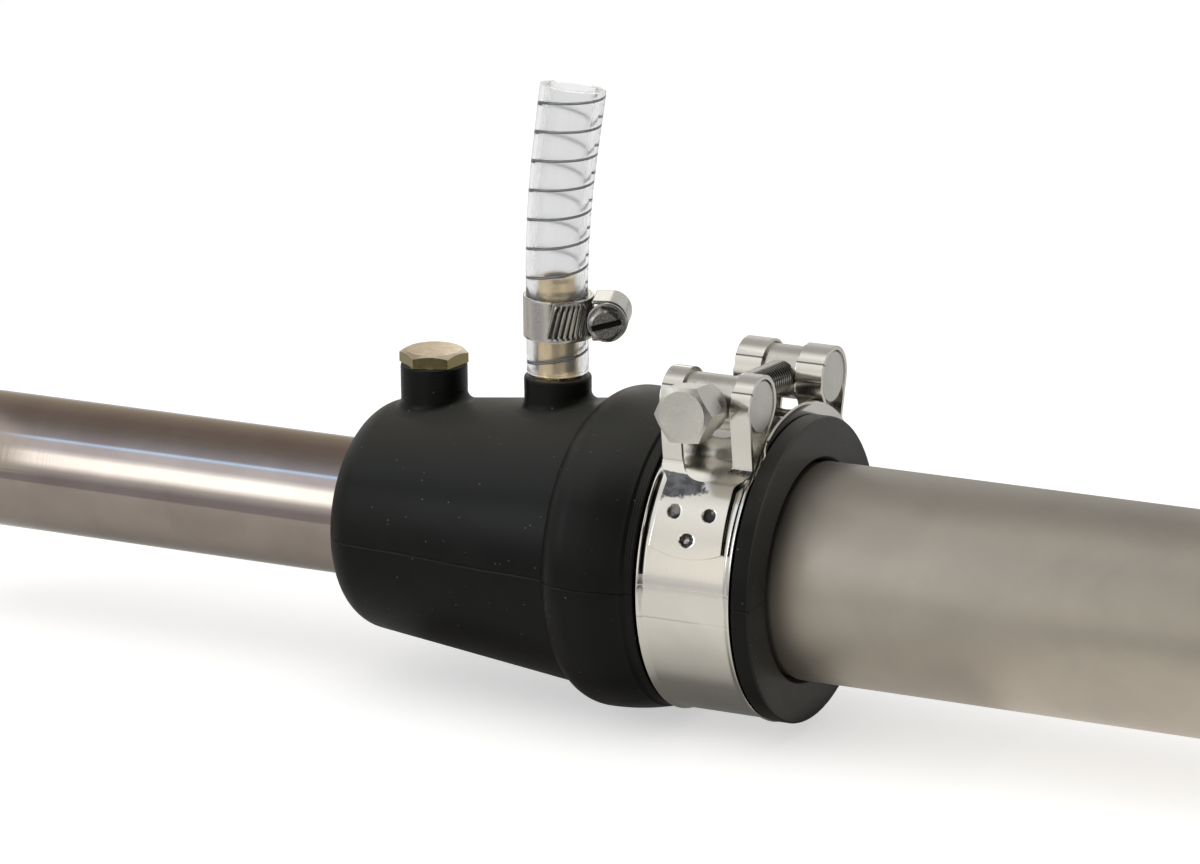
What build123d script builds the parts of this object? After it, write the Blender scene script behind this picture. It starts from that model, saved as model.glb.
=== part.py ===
from build123d import *
from math import asin, atan2, cos, degrees, pi, radians, sin
import os

# Stuffing box for a propeller shaft: a rubber housing clamped on the stern tube, with two lip
# seals, a grease space between them and a water-fed bearing. Millimetres.
# +X runs along the shaft from the boat to the water, +Z along the two bosses. The origin is the
# centre of the collar's face, where the stern tube comes out.

# Shaft and stern tube
shaft_d = 30.0
shaft_beyond_housing = 108.6
shaft_beyond_tube = 4.0
tube_od = 46.4
tube_wall = 3.3
tube_length = 104.0
tube_seat_d = 45.3
tube_shoulder_gap = 0.3
end_chamfer = 0.6

# Clearances
running_gap = 0.05
nest_gap = 0.05
collar_gap = 0.1

# Rubber housing
housing_length = 105.4
cone_small_d = 49.0
cone_big_d = 63.4
end_round = 8.0
end_wall = 4.4
entry_d = 33.0
bore_d = 40.0
bulge_d = 69.0
bulge_left_r = 8.0
bulge_right_r = 50.0
bulge_crown_from_face = 42.0
bulge_cavity_d = 53.0
bulge_cavity_width = 14.0
bulge_cavity_rim = 2.0
bead_d = 64.8
bead_width = 2.7
bead_gap = 0.9
land_d = 62.6
land_width = 22.0
collar_d = 65.2
collar_width = 4.0
mouth_flare = 1.4
mouth_flare_depth = 2.4
stop_lip_d = 42.6
stop_lip_width = 3.0
tube_entry = 28.0

# Bosses
boss_d = 14.4
boss_foot_r = 2.0
boss_rim_r = 0.4
plug_boss_top = 34.9
hose_boss_top = 35.7
boss_foot_low = 0.7
hose_boss_inset = 10.3

# Lip seals, both the same
seal_width = 7.0
seal_case_t = 0.8
seal_skin_t = 0.75
lip_t = 1.9
lip_neck = 1.4
lip_edge = 2.6
lip_land = 0.4
spring_r = 0.62

# Grease ring and bearing
grease_ring_width = 8.0
grease_ring_bore = 32.0
grease_groove_w = 4.0
grease_groove_depth = 1.0
grease_hole_d = 3.2
grease_holes = 6
bearing_into_bulge = 0.3
bearing_relief = 0.5
bearing_shell_t = 1.55
liner_bore = 30.12
flute_count = 8
flute_width = 3.4
flute_depth = 1.7
water_hole_d = 5.6

# Filler plug and its bush
bush_d = 10.4
plug_thread_d = 8.0
plug_thread_length = 8.6
plug_af = 13.0
plug_head_t = 3.0
plug_turn = -8.0
fill_hole_d = 4.6

# Hose tail and hose
tail_collar_af = 9.8
tail_collar_t = 0.8
tail_low_d = 8.9
tail_high_d = 7.8
tail_low_length = 9.0
tail_top = 57.6
tail_bore = 5.4
tail_rib = 0.2
tail_ribs = 3
tail_rib_pitch = 2.8
tail_rib_length = 1.8
hose_od = 13.2
hose_free_od = 14.2
hose_id = 9.2
hose_straight = 17.0
hose_bend_r = 215.0
hose_bend = 8.4
hose_end_length = 13.0
hose_lean_to = 50.0
wire_d = 0.8
wire_pitch = 6.17
wire_depth = 0.75
wire_end_gap = 0.8
wire_start = 90.0
wire_points = 10

# Hose clamp
worm_band_w = 8.8
worm_band_t = 0.6
worm_band_z = 48.9
worm_side = 20.0
worm_tail_angle = 96.0
worm_lap_angle = 42.0
thread_slots = 8
first_slot_angle = 25.0
slot_pitch_angle = 9.0
thread_slot_w = 0.62
thread_slot_l = 5.6
thread_slant = 14.0
worm_core_d = 6.6
worm_wall = 0.75
worm_play = 0.2
worm_barrel_length = 9.4
worm_dome = 2.2
worm_head_af = 7.2
worm_head_t = 3.0
worm_flange_d = 8.5
worm_flange_t = 0.9
worm_slot_w = 1.0
worm_slot_depth = 1.6
worm_slot_turn = 15.0

# T-bolt clamp
clamp_lean = 4.0
band_w = 21.4
band_t = 0.9
band_flare = 0.55
band_flare_w = 1.3
trunnion_d = 11.4
trunnion_h = 37.8
trunnion_pitch = 35.7
loop_w = 20.5
front_slot_w = 11.6
rear_slot_w = 7.9
inner_leg_angle = 37.0
outer_leg_angle = 41.0
slot_end_angle = 48.4
inner_slot_foot = 4.0
shoulder_angles = (42.5, 50.0)
tongue_waist_w = 15.4
tongue_end_w = 16.4
tongue_corner_angle = 74.5
tongue_tip_angle = 77.6
weld_d = 3.1
weld_depth = 0.35
weld_spots = ((61.0, -4.0), (61.0, 4.0), (71.0, 0.0))
bolt_d = 7.0
bolt_af = 11.8
bolt_head_t = 6.4
bolt_collar_d = 11.0
bolt_collar_t = 5.6
bolt_collar_round = 2.2
bolt_beyond_rear = 6.5
bolt_hole_play = 0.25
bolt_seat_depth = 0.45
bridge_t = 0.5
bridge_half_angle = 54.0
bridge_edge_lean = 0.08
bridge_edges = (
    (-38.0, -0.3), (-36.0, 0.1), (-33.0, 1.3), (-28.0, 3.4), (-20.0, 4.1), (-6.0, 4.1),
    (8.0, 3.9), (18.0, 3.4), (25.0, 2.0), (30.0, 0.6), (33.0, 0.1), (36.0, -0.3),
)

# Places along the shaft that follow from the sizes above
land_right = -collar_width
land_left = land_right - land_width
clamp_x = (land_right + land_left) / 2
bulge_crown = -bulge_crown_from_face
bore_left = -housing_length + end_wall
grease_ring_left = bore_left + seal_width + collar_gap
outer_seal_left = grease_ring_left + grease_ring_width + collar_gap
bearing_left = outer_seal_left + seal_width + collar_gap
bearing_right = bulge_crown - bulge_left_r + bearing_into_bulge
bearing_length = bearing_right - bearing_left
bore_right = bearing_right + bearing_relief
plug_boss_x = grease_ring_left + grease_ring_width / 2
hose_boss_x = bearing_right - hose_boss_inset
hose_bottom = hose_boss_top + nest_gap + tail_collar_t + nest_gap


def face_of(*points):
    """Closed flat outline in the XZ plane, given as (x, radius) points."""
    return Plane.XZ * make_face(Polyline(*points, close=True))


def turned(*points):
    """Ring turned about the shaft axis from (x, radius) points."""
    return revolve(face_of(*points), Axis.X)


def tube_between(x_low, x_high, r_low, r_high):
    """Plain ring about the shaft axis."""
    return turned((x_low, r_low), (x_high, r_low), (x_high, r_high), (x_low, r_high))


def post(radius, z_low, z_high, x=0.0, y=0.0):
    """Upright cylinder."""
    return Pos(x, y, (z_low + z_high) / 2) * Cylinder(radius, z_high - z_low)


def hexagon(across_flats):
    return RegularPolygon(across_flats / 2 / cos(radians(30)), 6)


def hexagon_head(across_flats, height, chamfer=0.06):
    """Hexagon from z = 0 upwards, its top corners turned off to a circle inside the flats."""
    top_r = across_flats / 2 * (1 - chamfer)
    far_r = across_flats * 0.75
    turned_off = make_face(Polyline(
        (0, -1), (far_r, -1), (far_r, height - 0.55 * (far_r - top_r)), (top_r, height), (0, height),
        close=True))
    body = extrude(hexagon(across_flats), height)
    return body & revolve(Plane.XZ * turned_off, Axis.Z)


def make_propeller_shaft():
    left = -housing_length - shaft_beyond_housing
    right = tube_length + shaft_beyond_tube
    r = shaft_d / 2
    return turned(
        (left, 0), (right, 0), (right, r - end_chamfer), (right - end_chamfer, r),
        (left + end_chamfer, r), (left, r - end_chamfer))


def make_stern_tube():
    """Plain tube, its end turned down to the seat that goes into the housing."""
    left = -tube_entry + collar_gap
    shoulder = tube_shoulder_gap
    bore_r = tube_od / 2 - tube_wall
    seat_r = tube_seat_d / 2 - nest_gap
    outer_r = tube_od / 2
    return turned(
        (left, bore_r), (tube_length, bore_r), (tube_length, outer_r), (shoulder, outer_r),
        (shoulder, seat_r), (left + end_chamfer, seat_r), (left, seat_r - end_chamfer))


def bulge_outline():
    """Half section of the bulge: a short round on the left, a long one on the right."""
    crown_r = bulge_d / 2
    right = land_left - bead_gap - bead_width
    run = right - bulge_crown
    right_r = crown_r - bulge_right_r + (bulge_right_r ** 2 - run ** 2) ** 0.5
    left = bulge_crown - bulge_left_r
    low = bore_d / 2
    outline = Polyline((left, crown_r - bulge_left_r), (left, low), (right, low), (right, right_r))
    outline += ThreePointArc(
        (right, right_r),
        (bulge_crown + run / 2, crown_r - bulge_right_r + (bulge_right_r ** 2 - (run / 2) ** 2) ** 0.5),
        (bulge_crown, crown_r))
    slant = bulge_left_r * sin(radians(45))
    outline += ThreePointArc(
        (bulge_crown, crown_r), (bulge_crown - slant, crown_r - bulge_left_r + slant),
        (left, crown_r - bulge_left_r))
    return Plane.XZ * make_face(outline)


def housing_cone():
    """Tapered barrel with its rounded inboard end."""
    big_r = cone_big_d / 2
    small_r = cone_small_d / 2
    left = -housing_length
    cone = turned((left, 0), (bulge_crown, 0), (bulge_crown, big_r), (left, small_r))
    rim = cone.edges().filter_by(GeomType.CIRCLE).sort_by(Axis.X)[0]
    return fillet(rim, end_round)


def make_housing():
    land_r = land_d / 2
    body = housing_cone()
    body += revolve(bulge_outline(), Axis.X)
    body += tube_between(bulge_crown, land_left - bead_gap, bore_d / 2, bead_d / 2)
    body += tube_between(bulge_crown, 0, bore_d / 2, land_r)
    body += tube_between(-collar_width, 0, bore_d / 2, collar_d / 2)
    for x, top in ((plug_boss_x, plug_boss_top), (hose_boss_x, hose_boss_top)):
        body += post(boss_d / 2, bore_d / 2, top, x)
    foot_z = boss_foot_low * cone_big_d / 2
    feet = [e for e in body.edges().filter_by(GeomType.BSPLINE) if e.bounding_box().max.Z > foot_z]
    body = fillet(feet, boss_foot_r)
    rims = [e for e in body.edges().filter_by(GeomType.CIRCLE)
            if abs(e.radius - boss_d / 2) < nest_gap and e.center().Z > plug_boss_top - nest_gap]
    body = fillet(rims, boss_rim_r)

    body -= tube_between(-housing_length - 1, bore_left + 1, 0, entry_d / 2)
    body -= tube_between(bore_left, bore_right, 0, bore_d / 2)
    body -= bulge_cavity()
    body -= tube_between(-tube_entry, 1, 0, tube_seat_d / 2)
    seat_r = tube_seat_d / 2
    mouth_r = seat_r + mouth_flare
    deep = -mouth_flare_depth
    body -= turned((deep, 0), (1, 0), (1, mouth_r), (0, mouth_r), (deep, seat_r))
    body -= bridge_recess()
    for x, top in ((plug_boss_x, plug_boss_top), (hose_boss_x, hose_boss_top)):
        body -= post(bush_d / 2 + nest_gap, 0, top + 1, x)
    return body


def bulge_cavity():
    """Space inside the bulge that lets the housing flex, and the lip that stops the tube."""
    right = -tube_entry - stop_lip_width
    left = right - bulge_cavity_width
    wide_r = bulge_cavity_d / 2
    low = bore_d / 2
    lip_r = stop_lip_d / 2
    rim = bulge_cavity_rim
    return turned(
        (bore_right - 1, 0), (-tube_entry + 1, 0), (-tube_entry + 1, lip_r), (right, lip_r),
        (right - rim, wide_r), (left + rim, wide_r), (left - rim, low), (bore_right - 1, low))


def in_clamp_frame(shape):
    """Clamp parts are drawn upright about the shaft and then leaned over towards the back."""
    return Pos(clamp_x, 0, 0) * Rot(X=-clamp_lean) * shape


def bridge_recess():
    """Where the tight clamp sinks its bridge into the rubber land."""
    low = land_d / 2 - bridge_t - 3 * nest_gap
    half = land_width / 2
    start = bridge_half_angle + 1.5
    section = face_of((-half, low), (half, low), (half, land_d / 2 + 1), (-half, land_d / 2 + 1))
    return in_clamp_frame(revolve(Rot(X=-start) * section, Axis.X, 2 * start))


def seal_sections():
    """Metal case, rubber and spring of a lip seal, from x = 0 at its flat back."""
    out = bore_d / 2 - nest_gap
    lip = shaft_d / 2 + running_gap
    skin = seal_skin_t
    t = seal_case_t
    end = seal_width
    case_top = out - skin
    case_end = end - skin
    web_low = lip + lip_t
    neck = skin + t + lip_neck
    case = face_of(
        (skin, web_low), (skin + t, web_low), (skin + t, case_top - t), (case_end, case_top - t),
        (case_end, case_top), (skin, case_top))
    cover = face_of(
        (0, lip + lip_t / 2), (neck, lip + lip_t / 2), (neck, web_low), (skin, web_low), (skin, case_top),
        (end, case_top), (end, out), (0, out))
    lip_body = face_of(
        (neck - lip_neck / 2, lip + lip_t / 2), (end - lip_edge, lip), (end - lip_edge + lip_land, lip),
        (end - skin, lip + lip_t * 0.7), (end - skin, web_low + spring_r), (neck, web_low))
    groove_x = end - lip_edge + lip_land / 2
    groove_z = web_low + spring_r
    groove = Plane.XZ * (Pos(groove_x, groove_z) * Circle(spring_r + nest_gap))
    spring = Plane.XZ * (Pos(groove_x, groove_z) * Circle(spring_r))
    return case, cover + lip_body - groove, spring


def make_seal(left):
    case, rubber, spring = seal_sections()
    return [Pos(left, 0, 0) * revolve(section, Axis.X) for section in (case, rubber, spring)]


def make_grease_ring():
    """Spacer between the seals, grooved outside and drilled so that grease reaches the shaft."""
    out = bore_d / 2 - nest_gap
    low = grease_ring_bore / 2
    w = grease_ring_width
    rim = (w - grease_groove_w) / 2
    floor = out - grease_groove_depth
    ring = turned(
        (0, low), (w, low), (w, out), (w - rim, out), (w - rim, floor), (rim, floor), (rim, out),
        (0, out))
    for i in range(grease_holes):
        ring -= Rot(X=i * 360 / grease_holes) * post(grease_hole_d / 2, low - 1, out + 1, w / 2)
    return Pos(grease_ring_left, 0, 0) * ring


def make_bearing_shell():
    out = bore_d / 2 - nest_gap
    shell = tube_between(bearing_left, bearing_right, out - bearing_shell_t, out)
    return shell - post(water_hole_d / 2, 0, bore_d, hose_boss_x)


def make_bearing_liner():
    """Rubber lands on the shaft with water flutes between them."""
    out = bore_d / 2 - nest_gap - bearing_shell_t - nest_gap
    liner = tube_between(bearing_left, bearing_right, liner_bore / 2, out)
    middle = (bearing_left + bearing_right) / 2
    for i in range(flute_count):
        turn = i * 360 / flute_count
        floor_z = liner_bore / 2 + flute_depth - flute_width / 2
        flute = Pos(middle, 0, floor_z) * Rot(Y=90) * Cylinder(flute_width / 2, bearing_length + 2)
        flute += Pos(middle, 0, floor_z / 2) * Box(bearing_length + 2, flute_width, floor_z)
        liner -= Rot(X=turn) * flute
    return liner - post(water_hole_d / 2, 0, bore_d, hose_boss_x)


def brass_below_boss(top):
    """Round brass body moulded into a boss, standing clear of the parts in the bore."""
    return post(bush_d / 2, bore_d / 2 + nest_gap, top)


def make_plug_bush():
    bush = brass_below_boss(plug_boss_top)
    bush -= post(plug_thread_d / 2, plug_boss_top - plug_thread_length - 1, plug_boss_top + 1)
    bush -= post(fill_hole_d / 2, 0, plug_boss_top)
    return Pos(plug_boss_x, 0, 0) * bush


def make_filler_plug():
    seat = plug_boss_top + nest_gap
    thread_r = plug_thread_d / 2 - running_gap
    plug = Pos(0, 0, seat) * Rot(Z=plug_turn + 30) * hexagon_head(plug_af, plug_head_t)
    shank = post(thread_r, seat - plug_thread_length, seat + 0.5)
    shank = chamfer(shank.edges().sort_by(Axis.Z)[0], 0.6)
    return Pos(plug_boss_x, 0, 0) * (plug + shank)


def make_hose_tail():
    seat = hose_boss_top + nest_gap
    low_top = seat + tail_collar_t + tail_low_length
    tail_r = tail_high_d / 2
    tail = brass_below_boss(hose_boss_top)
    tail += Pos(0, 0, seat) * extrude(hexagon(tail_collar_af), tail_collar_t)
    tail += post(tail_low_d / 2, seat - 2 * nest_gap, low_top)
    tail += post(tail_r, seat, tail_top)
    for i in range(tail_ribs):
        z = tail_top - tail_rib_pitch * (i + 1)
        rib = make_face(Polyline(
            (0, z), (tail_r + tail_rib, z), (tail_r, z + tail_rib_length), (0, z + tail_rib_length),
            close=True))
        tail += revolve(Plane.XZ * rib, Axis.Z)
    tail -= post(tail_bore / 2, 0, tail_top + 1)
    return Pos(hose_boss_x, 0, 0) * tail


def hose_centre(travel):
    """Point on the hose's centre line and its lean, by the distance from the lower end."""
    bend = radians(hose_bend)
    angle = min(max(travel - hose_straight, 0) / hose_bend_r, bend)
    rise = min(travel, hose_straight) + hose_bend_r * sin(angle)
    beyond = max(travel - hose_straight - hose_bend_r * bend, 0)
    x = hose_bend_r * (1 - cos(angle)) + beyond * sin(angle)
    return Vector(x, 0, hose_bottom + rise + beyond * cos(angle)), angle


def hose_path():
    """Centre line: up from the boss, one long bend, then straight to the cut end."""
    arc = hose_bend_r * radians(hose_bend)
    stations = (0, hose_straight, hose_straight + arc / 2, hose_straight + arc, hose_length())
    low, bend_low, bend_middle, bend_high, high = (hose_centre(travel)[0] for travel in stations)
    return Line(low, bend_low) + ThreePointArc(bend_low, bend_middle, bend_high) + Line(bend_high, high)


def hose_length():
    return hose_straight + hose_bend_r * radians(hose_bend) + hose_end_length


def hose_radius(travel):
    """Outer radius: squeezed by the clamp at the foot, full size at the free end."""
    grown = max(travel - hose_straight, 0) / (hose_length() - hose_straight)
    return (hose_od + (hose_free_od - hose_od) * grown) / 2


def make_hose():
    path = hose_path()
    gripped = post(hose_od / 2, hose_bottom, hose_bottom + hose_straight)
    free = path.trim(hose_straight / hose_length(), 1)
    ends = [Plane(origin=free @ at, z_dir=free % at) for at in (0, 1)]
    sections = [ends[0] * Circle(hose_od / 2), ends[1] * Circle(hose_free_od / 2)]
    hose = gripped + sweep(sections, free, multisection=True)
    hose -= sweep(Pos(0, 0, hose_bottom) * Circle(hose_id / 2), path)
    return Pos(hose_boss_x, 0, 0) * Rot(Z=hose_lean_to) * hose


def make_hose_wire():
    """Right-hand spiral moulded into the hose's wall, stopping just inside both ends."""
    turns = (hose_length() - 2 * wire_end_gap) / wire_pitch
    points = []
    for i in range(int(turns * wire_points) + 1):
        travel = wire_end_gap + i * wire_pitch / wire_points
        centre, lean = hose_centre(travel)
        coil_r = hose_radius(travel) - wire_depth
        turn = 2 * pi * i / wire_points + radians(wire_start)
        along = coil_r * cos(turn)
        points.append(centre + Vector(along * cos(lean), coil_r * sin(turn), -along * sin(lean)))
    path = Spline(*points)
    section = Plane(origin=path @ 0, z_dir=path % 0) * RegularPolygon(wire_d / 2, 6)
    wire = sweep(section, path, is_frenet=True)
    return Pos(hose_boss_x, 0, 0) * Rot(Z=hose_lean_to) * wire


def in_worm_frame(shape):
    """Hose clamp parts are drawn about the hose with the screw on +X and its head on -Y."""
    return Pos(hose_boss_x, 0, worm_band_z) * Rot(Z=worm_side) * shape


def band_arc(radius, thickness, start, size):
    """Flat ring sector about the origin, with its middle line at the given radius."""
    outer = CenterArc((0, 0), radius + thickness / 2, start, size)
    inner = CenterArc((0, 0), radius - thickness / 2, start, size)
    return make_face([outer, Line(outer @ 1, inner @ 1), inner, Line(inner @ 0, outer @ 0)])


worm_band_r = hose_od / 2 + nest_gap + worm_band_t / 2
worm_lap_r = worm_band_r + worm_band_t + 0.04
worm_axis_r = worm_lap_r + worm_band_t / 2 + nest_gap + worm_core_d / 2


def make_worm_band():
    """One strip round the hose; its slotted end laps over it and passes under the screw."""
    t = worm_band_t
    strip = Circle(worm_band_r + t / 2) - Circle(worm_band_r - t / 2)
    strip += band_arc(worm_lap_r, t, -worm_tail_angle, worm_tail_angle + worm_lap_angle)
    step_r = (worm_band_r + worm_lap_r) / 2
    joint = radians(worm_lap_angle)
    strip += Pos(step_r * cos(joint), step_r * sin(joint)) * Circle(t * 0.9)
    band = extrude(strip, worm_band_w / 2, both=True)
    for i in range(thread_slots):
        slot = Rot(X=thread_slant) * Box(2 * t, thread_slot_w, thread_slot_l)
        band -= Rot(Z=-first_slot_angle - i * slot_pitch_angle) * Pos(worm_lap_r + t, 0, 0) * slot
    return in_worm_frame(band)


def make_worm_housing():
    """Pressed arch over the screw with a domed far end and feet down to the band."""
    inner = worm_core_d / 2 + worm_play
    outer = inner + worm_wall
    front = -worm_barrel_length / 2
    back = worm_barrel_length / 2
    dome = back + worm_dome
    barrel = make_face(Polyline(
        (front, inner), (back, inner), (dome - worm_wall, inner * 0.45), (dome, outer * 0.45),
        (back + worm_dome * 0.62, outer * 0.82), (back, outer), (front, outer), close=True))
    arch = Rot(Z=90) * revolve(Plane.XZ * barrel, Axis.X)
    foot = worm_axis_r - worm_lap_r - worm_band_t / 2 - nest_gap
    below = 2 * (outer + worm_dome)
    arch -= Pos(-foot - below / 2, 0, 0) * Box(below, 2 * dome, 2 * dome)
    for side in (-1, 1):
        wall_z = side * (inner + worm_wall / 2)
        arch += Pos(-foot / 2, 0, wall_z) * Box(foot, worm_barrel_length, worm_wall)
    return in_worm_frame(Pos(worm_axis_r, 0, 0) * arch)


def lying(radius, y_low, y_high):
    """Cylinder along Y."""
    return Pos(0, (y_low + y_high) / 2, 0) * Rot(X=90) * Cylinder(radius, y_high - y_low)


def make_worm_screw():
    """Screw in the pressed arch, its flange and slotted hexagon on -Y."""
    front = -worm_barrel_length / 2
    flange_back = front - nest_gap
    flange_front = flange_back - worm_flange_t
    screw = lying(worm_core_d / 2, flange_back, front + worm_barrel_length)
    screw += lying(worm_flange_d / 2, flange_front, flange_back)
    head = hexagon_head(worm_head_af, worm_head_t, 0.1)
    slot = Pos(0, 0, worm_head_t) * Box(2 * worm_head_af, worm_slot_w, 2 * worm_slot_depth)
    head -= Rot(Z=worm_slot_turn) * slot
    screw += Pos(0, flange_front, 0) * Rot(X=90) * head
    return in_worm_frame(Pos(worm_axis_r, 0, 0) * screw)


# T-bolt clamp, drawn upright in its own frame: X along the shaft, the bolt along Y.
ring_r = land_d / 2 + nest_gap + band_t / 2
tongue_r = ring_r + band_t + 0.02
loop_r = trunnion_d / 2 + nest_gap + band_t / 2
trunnion_y = trunnion_pitch / 2


def at_angle(radius, angle):
    """Point in the clamp's cross-section, the angle counted from the top towards -Y."""
    return Vector(-radius * sin(radians(angle)), radius * cos(radians(angle)))


def strap_leg(start, end):
    """Straight run of the strap in cross-section."""
    run = end - start
    middle = (start + end) * 0.5
    return Pos(middle.X, middle.Y) * Rot(Z=degrees(atan2(run.Y, run.X))) * Rectangle(run.length, band_t)


def strap_bend(point):
    """Round corner where two runs of the strap meet."""
    return Pos(point.X, point.Y) * Circle(band_t / 2)


def tangent_from(point, side):
    """Where a straight run from the point meets the loop round the front trunnion."""
    centre = Vector(-trunnion_y, trunnion_h)
    gap = centre - point
    half = asin(loop_r / gap.length)
    heading = atan2(gap.Y, gap.X) + side * half
    run = gap.length * cos(half)
    return point + Vector(run * cos(heading), run * sin(heading))


def angle_at_trunnion(point):
    return degrees(atan2(point.Y - trunnion_h, point.X + trunnion_y))


def loop_profile():
    """Front loop in cross-section: inner leg, turn over the trunnion and outer leg apart."""
    inner_foot = at_angle(ring_r, inner_leg_angle)
    outer_foot = at_angle(tongue_r, outer_leg_angle)
    inner_top = tangent_from(inner_foot, -1)
    outer_top = tangent_from(outer_foot, 1)
    start = angle_at_trunnion(inner_top)
    turn = (angle_at_trunnion(outer_top) - start) % 360
    wrap = Pos(-trunnion_y, trunnion_h) * band_arc(loop_r, band_t, start, turn)
    inner = strap_leg(inner_foot, inner_top) + strap_bend(inner_foot) + strap_bend(inner_top) + wrap
    tongue = band_arc(tongue_r, band_t, 90 + outer_leg_angle, tongue_tip_angle - outer_leg_angle)
    outer = strap_leg(outer_foot, outer_top) + strap_bend(outer_foot) + strap_bend(outer_top) + tongue
    return inner, outer


def along_strap(angle):
    """How far down the flattened strap a point at this angle lies from the slot's end."""
    return tongue_r * sin(radians(angle - slot_end_angle))


def tongue_shape(slot_w):
    """Outline of the tongue and the outer legs, seen square on at the slot's end."""
    top = -(trunnion_h + trunnion_d)
    shoulder, waist = (along_strap(a) for a in shoulder_angles)
    corner = along_strap(tongue_corner_angle)
    tip = along_strap(tongue_tip_angle)
    middle = (shoulder + waist) / 2
    half_loop = loop_w / 2
    half_waist = tongue_waist_w / 2
    half_end = tongue_end_w / 2
    right = Spline(
        (half_loop, shoulder), (half_loop / 2 + half_waist / 2, middle), (half_waist, waist),
        tangents=((0, 1), (0, 1)))
    left = Spline(
        (-half_waist, waist), (-half_loop / 2 - half_waist / 2, middle), (-half_loop, shoulder),
        tangents=((0, -1), (0, -1)))
    outline = make_face([
        Line((half_loop, top), (half_loop, shoulder)), right,
        Line((half_waist, waist), (half_end, corner)),
        ThreePointArc((half_end, corner), (0, tip), (-half_end, corner)),
        Line((-half_end, corner), (-half_waist, waist)), left,
        Line((-half_loop, shoulder), (-half_loop, top)), Line((-half_loop, top), (half_loop, top))])
    slot = Pos(0, (top - slot_w) / 2) * Rectangle(slot_w, -top)
    slot += Pos(0, -slot_w / 2) * Circle(slot_w / 2)
    return outline - slot


def clamp_end(slot_w):
    """Front end of the band: loop, legs and welded tongue."""
    inner, outer = loop_profile()
    inner_end = extrude(Plane.YZ * inner, loop_w / 2, both=True)
    slot_foot = at_angle(ring_r, inner_leg_angle).Y + inner_slot_foot
    slot_l = trunnion_h + trunnion_d - slot_foot
    inner_end -= Pos(0, -trunnion_y, slot_foot + slot_l / 2) * Box(slot_w, 2 * trunnion_d, slot_l)

    outer_end = extrude(Plane.YZ * outer, band_w / 2, both=True)
    facing = radians(slot_end_angle)
    flat = Plane(
        origin=(0, -tongue_r * sin(facing), tongue_r * cos(facing)), x_dir=(1, 0, 0),
        z_dir=(0, sin(facing), -cos(facing)))
    outer_end &= extrude(flat * tongue_shape(slot_w), trunnion_pitch, both=True)
    for angle, x in weld_spots:
        point = at_angle(tongue_r + band_t / 2, angle)
        dimple = Pos(x, point.X, point.Y) * Rot(X=angle) * Cylinder(weld_d / 2, 2 * weld_depth)
        outer_end -= dimple
    return inner_end + outer_end


def make_clamp_band():
    """One strip: a ring with turned-up edges, folded back over a trunnion at both ends."""
    low = land_d / 2 + nest_gap
    half = band_w / 2
    flat_half = half - band_flare_w
    section = face_of(
        (-half, low + band_flare), (-flat_half, low), (flat_half, low), (half, low + band_flare),
        (half, low + band_flare + band_t), (flat_half, low + band_t), (-flat_half, low + band_t),
        (-half, low + band_flare + band_t))
    ring = revolve(Rot(X=inner_leg_angle) * section, Axis.X, 360 - 2 * inner_leg_angle)
    band = ring + clamp_end(front_slot_w) + clamp_end(rear_slot_w).mirror(Plane.XZ)
    return in_clamp_frame(band)


def make_clamp_bridge():
    """Strip under the bolt, its edges turned up between the two loops."""
    low = land_d / 2 - bridge_t - 2 * nest_gap
    high = low + bridge_t
    wall_in = loop_w / 2 + nest_gap
    wall_out = wall_in + bridge_t
    turn = 2 * bridge_half_angle
    strip = face_of((-wall_out, low), (wall_out, low), (wall_out, high), (-wall_out, high))
    rise = max(edge_rise for _, edge_rise in bridge_edges) + 1
    lean = bridge_edge_lean * rise
    walls = []
    for side in (-1, 1):
        section = face_of(
            (side * wall_in, low + nest_gap), (side * wall_out, low + nest_gap),
            (side * (wall_out + lean), high + rise), (side * (wall_in + lean), high + rise))
        walls.append(revolve(Rot(X=-bridge_half_angle) * section, Axis.X, turn))
    crest = Spline(*[at_angle(high + edge_rise, -angle) for angle, edge_rise in bridge_edges])
    profile = make_face([crest, Line(crest @ 1, (0, 0)), Line((0, 0), crest @ 0)])
    edges = (walls[0] + walls[1]) & extrude(Plane.YZ * profile, 2 * wall_out, both=True)
    return in_clamp_frame(revolve(Rot(X=-bridge_half_angle) * strip, Axis.X, turn) + edges)


def trunnion(hole_r):
    pin = Rot(Y=90) * Cylinder(trunnion_d / 2, loop_w - 0.4)
    pin = chamfer(pin.edges().filter_by(GeomType.CIRCLE), 0.35)
    return pin - Rot(X=90) * Cylinder(hole_r, 2 * trunnion_d)


def make_front_trunnion():
    pin = trunnion(bolt_d / 2 + bolt_hole_play)
    seat_y = -trunnion_d / 2 + bolt_seat_depth
    pin -= Pos(0, seat_y - trunnion_d / 2, 0) * Box(bolt_collar_d + 0.4, trunnion_d, 2 * trunnion_d)
    return in_clamp_frame(Pos(0, -trunnion_y, trunnion_h) * pin)


def make_rear_trunnion():
    return in_clamp_frame(Pos(0, trunnion_y, trunnion_h) * trunnion(bolt_d / 2 + running_gap))


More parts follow.
